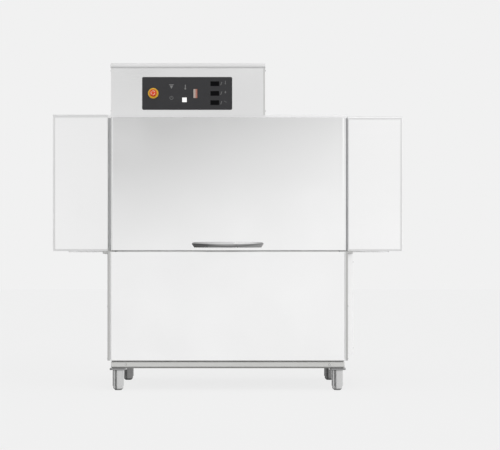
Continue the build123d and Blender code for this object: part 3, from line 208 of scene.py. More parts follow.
def worn_bow(name, node, stops, roughness):
    """Satin bow of the door, with a painted highlight at the middle of its top and painted shade below.

    The stops are (height share, colour) pairs, the lowest and the highest first.
    """
    material, tree, place = new_material(name)
    low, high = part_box(node)
    axes = add_node(tree, "ShaderNodeSeparateXYZ", links={0: place})
    share = add_node(tree, "ShaderNodeMapRange", {1: low[2], 2: high[2], 3: 0.0, 4: 1.25}, {0: (axes, "Z")})
    out = add_node(tree, "ShaderNodeMapRange", {1: low[0], 2: high[0], 3: -1.0, 4: 1.0}, {0: (axes, "X")})
    # towards both ends the painted shade climbs to the top
    squared = add_node(tree, "ShaderNodeMath", links={0: out, 1: out}, operation="MULTIPLY")
    bowed = add_node(tree, "ShaderNodeMath", {1: 0.75}, {0: squared}, operation="MULTIPLY")
    wear = add_node(tree, "ShaderNodeTexNoise", {"Scale": 24.0}, {"Vector": place})
    drift = add_node(tree, "ShaderNodeMapRange", {1: 0.3, 2: 0.7, 3: -0.02, 4: 0.02}, {0: wear})
    curved = add_node(tree, "ShaderNodeMath", links={0: share, 1: bowed}, operation="SUBTRACT")
    level = add_node(tree, "ShaderNodeMath", links={0: curved, 1: drift}, operation="ADD")
    tone = add_node(tree, "ShaderNodeValToRGB", links={"Fac": level})
    tone.color_ramp.interpolation = "EASE"
    points = tone.color_ramp.elements
    for index, (position, colour) in enumerate(stops):
        stop = points[index] if index < 2 else points.new(position)
        stop.position = position
        stop.color = linear(colour)
    rough = add_node(
        tree, "ShaderNodeMapRange", {1: 0.3, 2: 0.75, 3: roughness * 0.85, 4: roughness * 1.2}, {0: wear}
    )
    shader = add_node(
        tree, "ShaderNodeBsdfPrincipled", {"Metallic": 1.0}, {"Base Color": tone, "Roughness": rough}
    )
    add_node(tree, "ShaderNodeOutputMaterial", links={"Surface": shader})
    return material


def mottled(name, tints, spots, dulling, drift=None, relief=None, shine=None):
    """A surface with a fine grain that changes its roughness, and raises it where it has relief.

    The tints run from dark to light with the grain too, or with a slower drift of their own.
    """
    material, tree, place = new_material(name)
    grain = add_node(tree, "ShaderNodeTexNoise", spots, {"Vector": place})
    slow = add_node(tree, "ShaderNodeTexNoise", drift, {"Vector": place}) if drift else grain
    tint = add_node(tree, "ShaderNodeMix", {6: tints[0], 7: tints[1]}, {0: slow}, data_type="RGBA")
    rough = add_node(tree, "ShaderNodeMapRange", {1: 0.3, 2: 0.7, 3: dulling[0], 4: dulling[1]}, {0: grain})
    links = {"Base Color": (tint, 2), "Roughness": rough}
    if relief:
        links["Normal"] = add_node(tree, "ShaderNodeBump", relief, {"Height": grain})
    shader = add_node(tree, "ShaderNodeBsdfPrincipled", shine, links)
    add_node(tree, "ShaderNodeOutputMaterial", links={"Surface": shader})
    return material


def moulded_plastic(name, hex_colour, roughness, grain_mm=0.6, bump=0.08, ior=1.5, glow=0.0, gloss=0.5):
    """Injection-moulded plastic: a fine spark-eroded grain and slight colour drift."""
    base = linear(hex_colour)
    return mottled(
        name,
        (shade(base, 0.9), shade(base, 1.08)),
        {"Scale": 1 / (grain_mm * MM)},
        (roughness * 0.88, min(roughness * 1.12, 1.0)),
        drift={"Scale": 22.0},
        relief={"Strength": bump, "Distance": 0.3 * MM},
        shine={"IOR": ior, "Emission Color": base, "Emission Strength": glow, "Specular IOR Level": gloss},
    )


def two_tone_lens(name, node, first_colour, second_colour):
    """Faintly lit lens: a clear half at the left runs into a tinted half at the right."""
    material, tree, place = new_material(name)
    low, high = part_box(node)
    axes = add_node(tree, "ShaderNodeSeparateXYZ", links={0: place})
    ribs = add_node(tree, "ShaderNodeTexNoise", {"Scale": 400.0}, {"Vector": place})
    across = add_node(
        tree, "ShaderNodeMapRange", {1: low[0], 2: high[0], 3: 0.0, 4: 1.0}, {0: (axes, "X")},
        interpolation_type="SMOOTHSTEP",
    )
    tint = add_node(
        tree, "ShaderNodeMix", {6: linear(first_colour), 7: linear(second_colour)}, {0: across},
        data_type="RGBA",
    )
    rough = add_node(tree, "ShaderNodeMapRange", {1: 0.3, 2: 0.7, 3: 0.2, 4: 0.3}, {0: ribs})
    shader = add_node(
        tree, "ShaderNodeBsdfPrincipled", {"IOR": 1.49, "Emission Strength": 0.12},
        {"Base Color": (tint, 2), "Roughness": rough, "Emission Color": (tint, 2)},
    )
    add_node(tree, "ShaderNodeOutputMaterial", links={"Surface": shader})
    return material


# ---------------------------------------------------------------- shapes
def slab(bm, outline, y_front, depth):
    """An upright slab: an outline of (x, z) points, drawn back from y_front by depth."""
    near = [bm.verts.new((x, y_front, z)) for x, z in outline]
    far = [bm.verts.new((x, y_front + depth, z)) for x, z in outline]
    bm.faces.new(near)
    bm.faces.new(list(reversed(far)))
    count = len(outline)
    for i in range(count):
        j = (i + 1) % count
        bm.faces.new((near[j], near[i], far[i], far[j]))


def bar(bm, low, high):
    """A plain bar between two corners."""
    made = bmesh.ops.create_cube(bm, size=1.0)["verts"]
    centre = (Vector(low) + Vector(high)) / 2
    size = Vector(high) - Vector(low)
    for vert in made:
        vert.co = Vector([vert.co[i] * size[i] + centre[i] for i in range(3)])


def arc_points(centre, radius, start, end, steps):
    """Points (x, z) on an arc, angles in degrees from +X."""
    turn = [math.radians(start + (end - start) * i / steps) for i in range(steps + 1)]
    return [(centre[0] + radius * math.cos(a), centre[1] + radius * math.sin(a)) for a in turn]


def arc_band(bm, centre, inner, outer, start, end, y_front, depth, steps):
    """A flat band along an arc, as printed symbols have."""
    outside = arc_points(centre, outer, start, end, steps)
    inside = arc_points(centre, inner, start, end, steps)
    for i in range(steps):
        slab(bm, [outside[i], outside[i + 1], inside[i + 1], inside[i]], y_front, depth)


def bake_modifiers(piece):
    """Turn a piece's modifiers into plain mesh."""
    graph = bpy.context.evaluated_depsgraph_get()
    mesh = bpy.data.meshes.new_from_object(piece.evaluated_get(graph))
    old = piece.data
    piece.modifiers.clear()
    piece.data = mesh
    bpy.data.meshes.remove(old)


def soften(piece, width):
    """Round the edges of a piece."""
    bevel = piece.modifiers.new("rounded", "BEVEL")
    bevel.width = width
    bevel.segments = 2
    bevel.limit_method = "ANGLE"
    bake_modifiers(piece)


def bars(name, corners, material, width, body=MACHINE):
    """A piece of plain bars, each between two corners, with rounded edges."""
    bm = bmesh.new()
    for low, high in corners:
        bar(bm, low, high)
    soften(mesh_object(name, bm, material, body), width)


# ---------------------------------------------------------------- geometry nodes
def repeat_tree(name):
    """A node tree with a diameter and a height, whose places are ready to carry a shape."""
    tree = bpy.data.node_groups.new(name, "GeometryNodeTree")
    face = tree.interface
    face.new_socket(name="Places", in_out="INPUT", socket_type="NodeSocketGeometry")
    for label in ("Diameter", "Height"):
        socket = face.new_socket(name=label, in_out="INPUT", socket_type="NodeSocketFloat")
        socket.subtype = "DISTANCE"
    face.new_socket(name="Rotation", in_out="INPUT", socket_type="NodeSocketVector")
    face.new_socket(name="Finish", in_out="INPUT", socket_type="NodeSocketMaterial")
    face.new_socket(name="Pieces", in_out="OUTPUT", socket_type="NodeSocketGeometry")
    return tree, add_node(tree, "NodeGroupInput")


def end_tree(tree, given, shape):
    """Put a shape on every place, realise the copies and give them their finish."""
    spread = add_node(
        tree, "GeometryNodeInstanceOnPoints",
        links={"Points": (given, "Places"), "Instance": (shape, "Mesh"), "Rotation": (given, "Rotation")},
    )
    real = add_node(tree, "GeometryNodeRealizeInstances", links={"Geometry": spread})
    finish = add_node(
        tree, "GeometryNodeSetMaterial", links={"Geometry": real, "Material": (given, "Finish")}
    )
    add_node(tree, "NodeGroupOutput", links={"Pieces": finish})


def pan_head_tree():
    """A pan-head screw: a head that narrows to its top, with a hexagon recess."""
    tree, given = repeat_tree("pan_head_screw")
    # radius of the skirt, of the top and of the recess, as shares of the head's diameter
    skirt, top, recess = [
        add_node(tree, "ShaderNodeMath", {1: share}, {0: (given, "Diameter")}, operation="MULTIPLY")
        for share in (0.5, 0.36, 0.2)
    ]
    head = add_node(
        tree, "GeometryNodeMeshCone", {"Vertices": 20},
        {"Radius Top": top, "Radius Bottom": skirt, "Depth": (given, "Height")},
    )
    key = add_node(
        tree, "GeometryNodeMeshCylinder", {"Vertices": 6}, {"Radius": recess, "Depth": (given, "Height")}
    )
    raised = add_node(tree, "ShaderNodeCombineXYZ", links={"Z": (given, "Height")})
    placed = add_node(tree, "GeometryNodeTransform", links={"Geometry": (key, "Mesh"), "Translation": raised})
    cut = add_node(
        tree, "GeometryNodeMeshBoolean", links={"Mesh 1": (head, "Mesh"), "Mesh 2": placed},
        operation="DIFFERENCE",
    )
    end_tree(tree, given, cut)
    return tree


def pressed_hole_tree():
    """A shallow pressed hole, drawn as a dark disc that lies on the sheet."""
    tree, given = repeat_tree("pressed_hole")
    radius = add_node(tree, "ShaderNodeMath", {1: 0.5}, {0: (given, "Diameter")}, operation="MULTIPLY")
    disc = add_node(
        tree, "GeometryNodeMeshCylinder", {"Vertices": 8}, {"Radius": radius, "Depth": (given, "Height")}
    )
    end_tree(tree, given, disc)
    return tree


def repeat(name, tree, places, sizes, facing, material):
    """Make one plain mesh of a shape at every place, riding on the machine."""
    mesh = bpy.data.meshes.new(name)
    mesh.from_pydata(places, [], [])
    piece = new_object(name, mesh)
    nodes = piece.modifiers.new("repeat", "NODES")
    nodes.node_group = tree
    keys = {item.name: item.identifier for item in tree.interface.items_tree if item.in_out == "INPUT"}
    for label, value in sizes.items():
        nodes[keys[label]] = value
    nodes[keys["Rotation"]] = FACING[facing]
    nodes[keys["Finish"]] = material
    bake_modifiers(piece)
    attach(piece, MACHINE)


def run(start, end, pitch):
    """Evenly spaced numbers from start to end, no further apart than pitch."""
    steps = max(1, math.ceil(abs(end - start) / pitch))
    return [start + (end - start) * i / steps for i in range(steps + 1)]


FACING = {
    "left": (0.0, -math.pi / 2, 0.0),
    "right": (0.0, math.pi / 2, 0.0),
    "rear": (-math.pi / 2, 0.0, 0.0),
    "up": (0.0, 0.0, 0.0),
}


# ---------------------------------------------------------------- settings
class StudioSettings(bpy.types.PropertyGroup):
    """Camera, backdrop and light."""

    camera_distance: FloatProperty(
        name="Camera distance", description="From the middle of the machine to the lens", default=7.7,
        unit="LENGTH",
    )
    camera_height: FloatProperty(
        name="Camera height", description="Lens above the floor", default=0.72, unit="LENGTH"
    )
    camera_side: FloatProperty(
        name="Camera side", description="Lens to the right of the middle", default=0.076, unit="LENGTH"
    )
    shift_x: FloatProperty(name="Shift across", description="Lens shift", default=0.018)
    shift_y: FloatProperty(name="Shift up", description="Lens shift", default=0.08)
    focal_length: FloatProperty(
        name="Focal length", description="Lens, on a 36 mm sensor", default=92.3, unit="CAMERA"
    )
    backdrop: StringProperty(name="Backdrop", description="Colour of the seamless paper", default="#F1F1F1")
    key_power: FloatProperty(
        name="Key light", description="Power of the big soft box", default=26.0, unit="POWER"
    )
    sky: FloatProperty(name="Surround", description="Strength of the white room", default=0.86)
    surround_gloss: FloatProperty(
        name="Mirrored room", description="Brightness of the room as metal mirrors it", default=1.12
    )
    band: FloatProperty(
        name="Dark band", description="Brightness left in the soft diagonal band that the door mirrors",
        default=0.38,
    )
    flag: FloatProperty(
        name="Low side flag", description="Brightness of the left card near the floor", default=0.22
    )
    high_flag: FloatProperty(
        name="High side flag", description="Brightness of the left card at eye height", default=1.0
    )
    overhead: FloatProperty(name="Top flag", description="Brightness of the dark card overhead", default=0.5)
    contact_shade: FloatProperty(
        name="Floor card", description="Brightness of the dark card on the floor", default=0.3
    )


class SheetSettings(bpy.types.PropertyGroup):
    """Colours and grinds of the stainless sheets."""

    outer: StringProperty(name="Outer sheet", description="Colour of the casing sheet", default="#F5F5F5")
    door: StringProperty(name="Door sheet", description="Colour of the door", default="#EAEAEA")
    box: StringProperty(name="Box sheet", description="Colour of the control box", default="#E8E8E8")
    inner: StringProperty(name="Inner sheet", description="Colour of the chamber and tank", default="#D9D9D7")
    frame: StringProperty(
        name="Frame steel", description="Colour of the base frame and posts", default="#D2D2D0"
    )
    door_roughness: FloatProperty(name="Door roughness", description="The door is ground finer", default=0.17)
    case_roughness: FloatProperty(
        name="Casing roughness", description="Roughness of the other panels", default=0.34
    )
    hem: StringProperty(name="Hems", description="Colour of the pressed hems", default="#E4E4E4")
    hem_width: FloatProperty(
        name="Hem width", description="Width of the hoods' doubled edges", default=0.014, unit="LENGTH"
    )
    # the corner strips' darker grey is painted shade
    trim: StringProperty(
        name="Corner strips", description="Colour of the strips on the cabinet's corners", default="#C8C8C7"
    )
    strip_width: FloatProperty(
        name="Strip width", description="Width of the corner strips", default=0.0135, unit="LENGTH"
    )
    # the folded edges' darker grey is painted shade
    fold: StringProperty(
        name="Folded edges", description="Colour of the dull folded edges", default="#CFCFCE"
    )
    # the door fold's darker grey is painted shade
    door_fold: StringProperty(
        name="Door fold", description="Colour of the door's folded left edge", default="#D8D8D8"
    )
    # the lips' grey is partly painted shade for the guide slots
    lip: StringProperty(name="Edge lips", description="Colour of the door's edge seals", default="#C1C2C3")
    grind: FloatProperty(
        name="Grind line", description="Spacing of the lines, in mm, as coarse as they show", default=1.6
    )


class ControlSettings(bpy.types.PropertyGroup):
    """Colours of the controls."""

    panel: StringProperty(name="Panel", description="Colour of the printed foil", default="#343436")
    symbol: StringProperty(name="Symbols", description="Colour of the printed symbols", default="#7C7C7C")
    faint_symbol: StringProperty(
        name="Faint symbols", description="Colour of the standby and display marks", default="#6A6A6A"
    )
    stop_ring: StringProperty(
        name="Stop ring", description="Yellow collar of the stop button", default="#E8B423"
    )
    stop_head: StringProperty(name="Stop head", description="Red head of the stop button", default="#D8431C")
    key: StringProperty(name="Start key", description="Lit key", default="#F2F2F0")


class FastenerSettings(bpy.types.PropertyGroup):
    """Sizes of the small fixings."""

    screw_head: FloatProperty(
        name="Screw head", description="Diameter of a pan head", default=0.0095, unit="LENGTH"
    )
    head_height: FloatProperty(
        name="Head height", description="Height of a pan head", default=0.0026, unit="LENGTH"
    )
    pitch: FloatProperty(
        name="Screw pitch", description="Greatest distance between screws", default=0.32, unit="LENGTH"
    )


# ---------------------------------------------------------------- studio
def backdrop_paper(settings):
    """Seamless paper: seen straight on it is even, and it keeps a trace of the shadow.

    Metal mirrors the white room through it, as if the sweep went on below.
    """
    material, tree, _ = new_material("seamless_paper")
    path = add_node(tree, "ShaderNodeLightPath")
    colour = linear(settings.backdrop)
    even = add_node(tree, "ShaderNodeEmission", {"Color": colour, "Strength": 1.0})
    paper = add_node(tree, "ShaderNodeBsdfDiffuse", {"Color": colour, "Roughness": 1.0})
    # a tenth of the lit paper is kept, and the shadow with it
    share = add_node(tree, "ShaderNodeMath", {1: 0.9}, {0: (path, "Is Camera Ray")}, operation="MULTIPLY")
    seen = add_node(tree, "ShaderNodeMixShader", links={0: share, 1: paper, 2: even})
    mirrored = add_node(
        tree, "ShaderNodeMath", links={0: (path, "Is Glossy Ray"), 1: (path, "Is Transmission Ray")},
        operation="MAXIMUM",
    )
    open_below = add_node(tree, "ShaderNodeBsdfTransparent")
    final = add_node(tree, "ShaderNodeMixShader", links={0: mirrored, 1: seen, 2: open_below})
    add_node(tree, "ShaderNodeOutputMaterial", links={"Surface": final})
    return material


# The band lies on a wall one metre in front of the steel. It climbs steeply for each metre
# up that wall and drifts back for each metre across, so its edge runs diagonally.
BAND_CLIMB = 6.67
BAND_DRIFT = 3.0
BAND_START = 0.624


def white_room(settings):
    """A white room with dark cards at the left, overhead and on the floor, for the metal's edges.

    One soft diagonal band in front gives fine-ground sheet its slow gradient.
    """
    world = bpy.data.worlds.new("white_room")
    world.use_nodes = True
    tree = world.node_tree
    tree.nodes.clear()
    place = add_node(tree, "ShaderNodeTexCoord")
    axes = add_node(tree, "ShaderNodeSeparateXYZ", links={0: (place, "Generated")})
    height = (axes, "Z")
    left, ahead, below = [
        add_node(tree, "ShaderNodeMath", {1: -1.0}, {0: (axes, axis)}, operation="MULTIPLY") for axis in "XYZ"
    ]

    # a direction towards the viewer is turned into a place on the wall in front
    depth = add_node(tree, "ShaderNodeMath", {1: 0.05}, {0: ahead}, operation="MAXIMUM")
    across = add_node(tree, "ShaderNodeMath", links={0: (axes, "X"), 1: depth}, operation="DIVIDE")
    upward = add_node(tree, "ShaderNodeMath", links={0: height, 1: depth}, operation="DIVIDE")
    climb = add_node(tree, "ShaderNodeMath", {1: BAND_CLIMB}, {0: upward}, operation="MULTIPLY")
    drift = add_node(tree, "ShaderNodeMath", {1: BAND_DRIFT}, {0: across}, operation="MULTIPLY")
    leaning = add_node(tree, "ShaderNodeMath", links={0: climb, 1: drift}, operation="SUBTRACT")
    slant = add_node(tree, "ShaderNodeMath", {1: BAND_START}, {0: leaning}, operation="ADD")
    aside = add_node(tree, "ShaderNodeMath", links={0: across}, operation="ABSOLUTE")

    # soft edges: what each goes by, where it starts and ends, and the value before and after it
    edges = (
        (slant, 0.82, 1.8, 1.0, settings.band),
        (slant, 2.3, 3.4, 0.0, 1.0),
        (aside, 0.12, 0.16, 0.0, 1.0),
        (ahead, 0.6, 0.9, 0.0, 1.0),
        (height, -0.05, 0.06, settings.flag, settings.high_flag),
        (left, 0.34, 0.46, 0.0, 1.0),
        (left, 0.94, 0.99, 1.0, 0.0),
        (height, 0.4, 0.6, 1.0, settings.overhead),
        (height, 0.9, 0.98, 0.0, 0.9),
        (below, 0.2, 0.55, 1.0, settings.contact_shade),
    )
    fall, rise, ends, facing, card, near_edge, far_edge, high_up, zenith, underfoot = [
        add_node(
            tree, "ShaderNodeMapRange", dict(enumerate(spans, 1)), {0: by}, interpolation_type="SMOOTHSTEP"
        )
        for by, *spans in edges
    ]
    crossed = add_node(tree, "ShaderNodeMath", links={0: fall, 1: rise}, operation="MAXIMUM")
    band = add_node(tree, "ShaderNodeMath", links={0: crossed, 1: ends}, operation="MAXIMUM")
    front = add_node(tree, "ShaderNodeMix", {2: 1.0}, {0: facing, 3: band}, data_type="FLOAT")
    # the left card is deepest low down, and ends before it would stand beside the machine
    covered = add_node(tree, "ShaderNodeMath", links={0: near_edge, 1: far_edge}, operation="MULTIPLY")
    beside = add_node(tree, "ShaderNodeMix", {2: 1.0}, {0: covered, 3: card}, data_type="FLOAT")
    # the overhead card leaves the zenith bright, and the floor card starts under the machine
    overhead = add_node(tree, "ShaderNodeMath", links={0: high_up, 1: zenith}, operation="MAXIMUM")
    shape = front
    for cards in (beside, overhead, underfoot):
        shape = add_node(tree, "ShaderNodeMath", links={0: shape, 1: cards}, operation="MULTIPLY")
    mirrored = add_node(
        tree, "ShaderNodeMath", {1: settings.surround_gloss}, {0: shape}, operation="MULTIPLY"
    )

    path = add_node(tree, "ShaderNodeLightPath")
    strength = add_node(
        tree, "ShaderNodeMix", {2: settings.sky}, {0: (path, "Is Glossy Ray"), 3: mirrored}, data_type="FLOAT"
    )
    room = add_node(tree, "ShaderNodeBackground", {"Color": (1, 1, 1, 1)}, {"Strength": strength})
    paper = add_node(tree, "ShaderNodeBackground", {"Color": linear(settings.backdrop), "Strength": 1.0})
    seen = add_node(tree, "ShaderNodeMixShader", links={0: (path, "Is Camera Ray"), 1: room, 2: paper})
    add_node(tree, "ShaderNodeOutputWorld", links={"Surface": seen})
    return world


class DISHWASHER_OT_studio(bpy.types.Operator):
    """Set up the floor, the white room, the soft box and the camera"""

    bl_idname = "dishwasher.studio"
    bl_label = "Studio"

    def execute(self, context):
        settings = context.scene.dishwasher_studio
        scene = context.scene
        scene.world = white_room(settings)

        paper = bmesh.new()
        bmesh.ops.create_grid(paper, x_segments=1, y_segments=1, size=30.0)
        mesh = bpy.data.meshes.new("floor")
        paper.to_mesh(mesh)
        paper.free()
        mesh.materials.append(backdrop_paper(settings))
        new_object("floor", mesh)

        # the soft box stands high at the front right, and looks at the middle of the machine
        lamp = bpy.data.lights.new("soft_box", "AREA")
        lamp.shape = "RECTANGLE"
        lamp.size = 3.2
        lamp.size_y = 2.4
        lamp.energy = settings.key_power
        soft_box = new_object("soft_box", lamp)
        soft_box.location = (1.6, -3.4, 4.4)
        aim = Vector((0.0, 0.0, 0.8)) - soft_box.location
        soft_box.rotation_euler = aim.to_track_quat("-Z", "Y").to_euler()

        lens = bpy.data.cameras.new("camera")
        lens.lens = settings.focal_length
        lens.shift_x = settings.shift_x
        lens.shift_y = settings.shift_y
        lens.clip_end = 100.0
        camera = new_object("camera", lens)
        camera.location = (settings.camera_side, -settings.camera_distance, settings.camera_height)
        camera.rotation_euler = (math.radians(90), 0, 0)
        scene.camera = camera
        scene.view_settings.view_transform = "Standard"
        return {"FINISHED"}


# ---------------------------------------------------------------- finishes of the frame's nodes
class DISHWASHER_OT_casing(bpy.types.Operator):
    """Finish the outer sheets, the base and the feet"""

    bl_idname = "dishwasher.casing"
    bl_label = "Casing sheets"

    def execute(self, context):
        sheet = context.scene.dishwasher_sheet
        # 1.4301 sheet, ground with a 240 belt: a soft even sheen with fine level lines
        dress(
            brushed_sheet("ground_stainless_sheet", sheet.outer, sheet.case_roughness, 0.04, sheet.grind),
            "entry_hood", "exit_hood", "left_side_panel", "right_side_panel", "right_service_cover",
            "lower_front_panel", "rear_panel", "roof_cover",
        )
        dress(
            brushed_sheet("satin_stainless_box", sheet.box, 0.3, 0.03, sheet.grind, bump=0.03),
            "control_box_shell", "control_box_front", "control_box_lid",
        )
        # the door is ground finer, so it mirrors the room in soft patches
        dress(
            brushed_sheet(
                "fine_ground_stainless_door", sheet.door, sheet.door_roughness, 0.02, sheet.grind, bump=0.015
            ),
            "door_panel",
        )
        # pickled and folded sections: greyer, with a blunter shine
        dress(
            brushed_sheet("pickled_stainless_section", sheet.frame, 0.4, 0.06, sheet.grind, bump=0.1),
            "base_frame", "corner_posts", "deck", "floor_pan",
        )
        dress(brushed_sheet("blasted_stainless_flange", sheet.outer, 0.6, 0.05, sheet.grind), "table_flanges")
        # drawn tube, polished; the rear legs and a band at the top under the rail get a darker colour,
        # painted shade
        tube = polished_steel("polished_stainless_tube", "#C2C2C2", 0.2, rear_colour="#767676")
        dress(tube, "leg_sleeves")
        dress(polished_steel("drawn_stainless_rod", "#DCDCDB", 0.16), "curtain_rods")
        # a painted highlight on the top of the bow, painted shade below it and at its ends
        bow = ((0.0, "#B0B0B0"), (1.0, "#E6E6E6"), (0.22, "#8A8A8A"), (0.42, "#ACACAC"), (0.65, "#D4D4D4"))
        dress(worn_bow("satin_bow_painted_shade", "door_handle", bow, 0.3), "door_handle")
        # the rear feet get the same darker colour, painted shade
        foot = polished_steel("turned_stainless_foot", "#C2C2C2", 0.24, rear_colour="#767676")
        dress(foot, "adjustable_feet")
        dress(polished_steel("turned_stainless_bolt", "#C2C2C1", 0.24), "frame_bolts")
        return {"FINISHED"}


class DISHWASHER_OT_chamber(bpy.types.Operator):
    """Finish the wash chamber, the tank, the pipes and the conveyor"""

    bl_idname = "dishwasher.chamber"
    bl_label = "Wash chamber and conveyor"

    def execute(self, context):
        sheet = context.scene.dishwasher_sheet
        # deep-drawn and welded sheet, bright from the mill with a dull bloom from hot water
        dress(
            brushed_sheet("mill_finish_stainless", sheet.inner, 0.33, 0.07, sheet.grind * 1.5, bump=0.08),
            "wash_chamber", "wash_tank", "entry_side_wall", "exit_side_wall", "tunnel_collars", "door_liner",
            "tank_filters", "track_rails",
        )
        # seamless pipe, drawn bright, with faint wiping marks
        dress(
            polished_steel("drawn_stainless_pipe", "#D5D5D3", 0.2),
            "wash_pipework", "rinse_pipework", "rinse_boiler", "overflow_pipe",
        )
        # milled and turned steel: greyer, with a tighter shine
        dress(
            polished_steel("machined_steel", "#B9B9B8", 0.27),
            "drive_lever", "pawl_bar", "pawl_1", "pawl_2", "pawl_3", "pawl_4",
        )
        # blued spring strip that balances the door
        dress(polished_steel("rolled_spring_strip", "#8F959C", 0.3), "left_spring_tape", "right_spring_tape")
        # soft food-grade PVC curtain: milky, with water marks
        milky = linear("#C9CDCB")
        marks = {"Scale": 14.0, "Detail": 5.0, "Roughness": 0.6}
        tints = (shade(milky, 0.85), milky)
        pvc = mottled("soft_pvc_curtain", tints, marks, (0.32, 0.5), shine={"IOR": 1.52})
        dress(pvc, "entry_curtain", "exit_curtain")
        # pump and gear housings: orange-peel enamel over a sandy aluminium cast skin
        grey = linear("#7F868C")
        sand = {"Scale": 420.0, "Detail": 4.0, "Roughness": 0.6}
        peel = {"Strength": 0.25, "Distance": 0.6 * MM}
        tints = (shade(grey, 0.88), grey)
        enamel = mottled("enamelled_casting", tints, sand, (0.38, 0.55), relief=peel)
        dress(enamel, "wash_pump", "drive_gearmotor")
        # grey polypropylene waste pipe and impeller
        dress(moulded_plastic("grey_polypropylene", "#8A8C8E", 0.42), "drain_pipe", "pump_rotor")
        # black nylon mouldings, matt from their spark-eroded mould
        dress(
            moulded_plastic("black_nylon", "#232325", 0.5),
            "cable_gland", "left_spring_reel", "right_spring_reel", "switch_housings",
        )
        return {"FINISHED"}


class DISHWASHER_OT_controls(bpy.types.Operator):
    """Finish the control panel, its buttons and its windows"""

    bl_idname = "dishwasher.controls"
    bl_label = "Control panel"

    def execute(self, context):
        tone = context.scene.dishwasher_controls
        # screen-printed polyester foil: satin black with a fine pebble
        foil = moulded_plastic("printed_polyester_foil", tone.panel, 0.46, 0.5, 0.05, gloss=0.25)
        dress(foil, "control_panel")
        # smoked windows and a lens, smooth enough to look wet
        smoked = moulded_plastic("smoked_acrylic", "#08080A", 0.12, 0.8, 0.0, 1.49, gloss=0.08)
        dress(smoked, "display_windows")
        dress(two_tone_lens("lamp_lens", "signal_lamp", "#ADA59E", "#A0604E"), "signal_lamp")
        # glass-filled mouldings of the stop button and the translucent cap of the start key
        dress(moulded_plastic("yellow_polyamide", tone.stop_ring, 0.38), "estop_ring")
        dress(moulded_plastic("red_polyamide", tone.stop_head, 0.33), "estop_head")
        dress(moulded_plastic("black_polyamide_stem", "#1C1C1D", 0.45), "estop_stem")
        cap = moulded_plastic("opal_key_cap", tone.key, 0.3, 0.6, 0.03, 1.49, glow=0.35)
        dress(cap, "start_key")
        return {"FINISHED"}


# ---------------------------------------------------------------- printed symbols
# Their shapes in shares of a symbol's size: bands first, then flat outlines of (across, up) points.
# A band gives its centre, its inner and outer radius, its start and end in degrees, and its steps.
SYMBOLS = {
    # filling: a bar over a funnel
    "funnel": (
        [],
        [
            [(-1.0, 1.0), (1.0, 1.0), (1.0, 0.72), (-1.0, 0.72)],
            [(-0.7, 0.5), (0.7, 0.5), (0.12, -0.8), (-0.12, -0.8)],
        ],
    ),
    # standby: an open ring with a bar through the gap
    "standby": (
        [(0.0, 0.0, 0.72, 1.0, 125, 415, 24)],
        [[(-0.13, 1.1), (0.13, 1.1), (0.13, 0.1), (-0.13, 0.1)]],
    ),
    # temperature: a narrow stem over a bulb
    "heat": (
        [],
        [
            [(-0.22, 1.3), (0.22, 1.3), (0.22, -0.5), (-0.22, -0.5)],
            arc_points((0.0, -0.8), 0.45, 0, 345, 23),
        ],
    ),
    # water: a pointed drop
    "drop": ([], [[(0.0, 1.1)] + arc_points((0.0, -0.2), 0.6, 150, 390, 16)]),
    # rinse: two short arcs
    "wave": ([(-0.4, 0.0, 0.32, 0.52, 0, 180, 10), (0.4, 0.0, 0.32, 0.52, 180, 360, 10)], []),
    # the slanted mark beside a display
    "slant": ([], [[(0.1, 1.0), (0.6, 1.0), (-0.1, -1.0), (-0.6, -1.0)]]),
}


def print_symbol(bm, kind, x, z, size, y, film):
    """Print one symbol round its place, as a film on the front face."""
    bands, outlines = SYMBOLS[kind]
    for across, up, inner, outer, start, end, steps in bands:
        centre = (x + across * size, z + up * size)
        arc_band(bm, centre, inner * size, outer * size, start, end, y, film, steps)
    for outline in outlines:
        slab(bm, [(x + across * size, z + up * size) for across, up in outline], y, film)


class DISHWASHER_OT_symbols(bpy.types.Operator):
    """Print the plain symbols on the control panel and the stop button"""

    bl_idname = "dishwasher.symbols"
    bl_label = "Printed symbols"

    def execute(self, context):
        tone = context.scene.dishwasher_controls
        film = 0.15 * MM
        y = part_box("control_panel")[0][1] - film
        key_low, key_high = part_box("start_key")
        key_x = (key_low[0] + key_high[0]) / 2
        key_z = (key_low[2] + key_high[2]) / 2
        left_x = key_x - 75 * MM

        # screen-printed ink, matt and a little worn
        ink = moulded_plastic("pale_screen_ink", tone.symbol, 0.7, 1.0, 0.0)
        prints = bmesh.new()
        print_symbol(prints, "funnel", left_x, key_z + 76 * MM, 13 * MM, y, film)
        print_symbol(prints, "heat", key_x + 5 * MM, key_z + 73 * MM, 11 * MM, y, film)
        mesh_object("panel_symbols", prints, ink)

        faint = moulded_plastic("grey_screen_ink", tone.faint_symbol, 0.7, 1.0, 0.0)
        marks = bmesh.new()
        print_symbol(marks, "standby", left_x, key_z + 12 * MM, 11 * MM, y, film)
        low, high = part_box("display_windows")
        rows = (high[2] - 13 * MM, (low[2] + high[2]) / 2, low[2] + 13 * MM)
        for z, kind in zip(rows, ("heat", "drop", "wave")):
            print_symbol(marks, "slant", high[0] + 12 * MM, z, 9 * MM, y, film)
            print_symbol(marks, kind, high[0] + 36 * MM, z + 6 * MM, 8 * MM, y, film)
        mesh_object("display_symbols", marks, faint)

        # turning arrows on the stop head show how it is let out again
        ring_low, ring_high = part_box("estop_ring")
        low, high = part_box("estop_head")
        centre = ((low[0] + high[0]) / 2, (ring_low[2] + ring_high[2]) / 2)
        front = low[1] - 0.1 * MM
        pad = 0.2 * MM
        arrows = bmesh.new()
        for start in (20, 140, 260):
            end = start + 70
            arc_band(arrows, centre, 10.5 * MM, 12.5 * MM, start, end, front, pad, 10)
            corners = ((14.5, end), (11.5, end + 20), (8.5, end))
            head = [arc_points(centre, radius * MM, angle, angle, 1)[0] for radius, angle in corners]
            slab(arrows, head, front, pad)
        cream = moulded_plastic("cream_pad_print", "#E8DCC0", 0.5, 0.8, 0.0)
        mesh_object("stop_arrows", arrows, cream, body="stop_head")
        return {"FINISHED"}


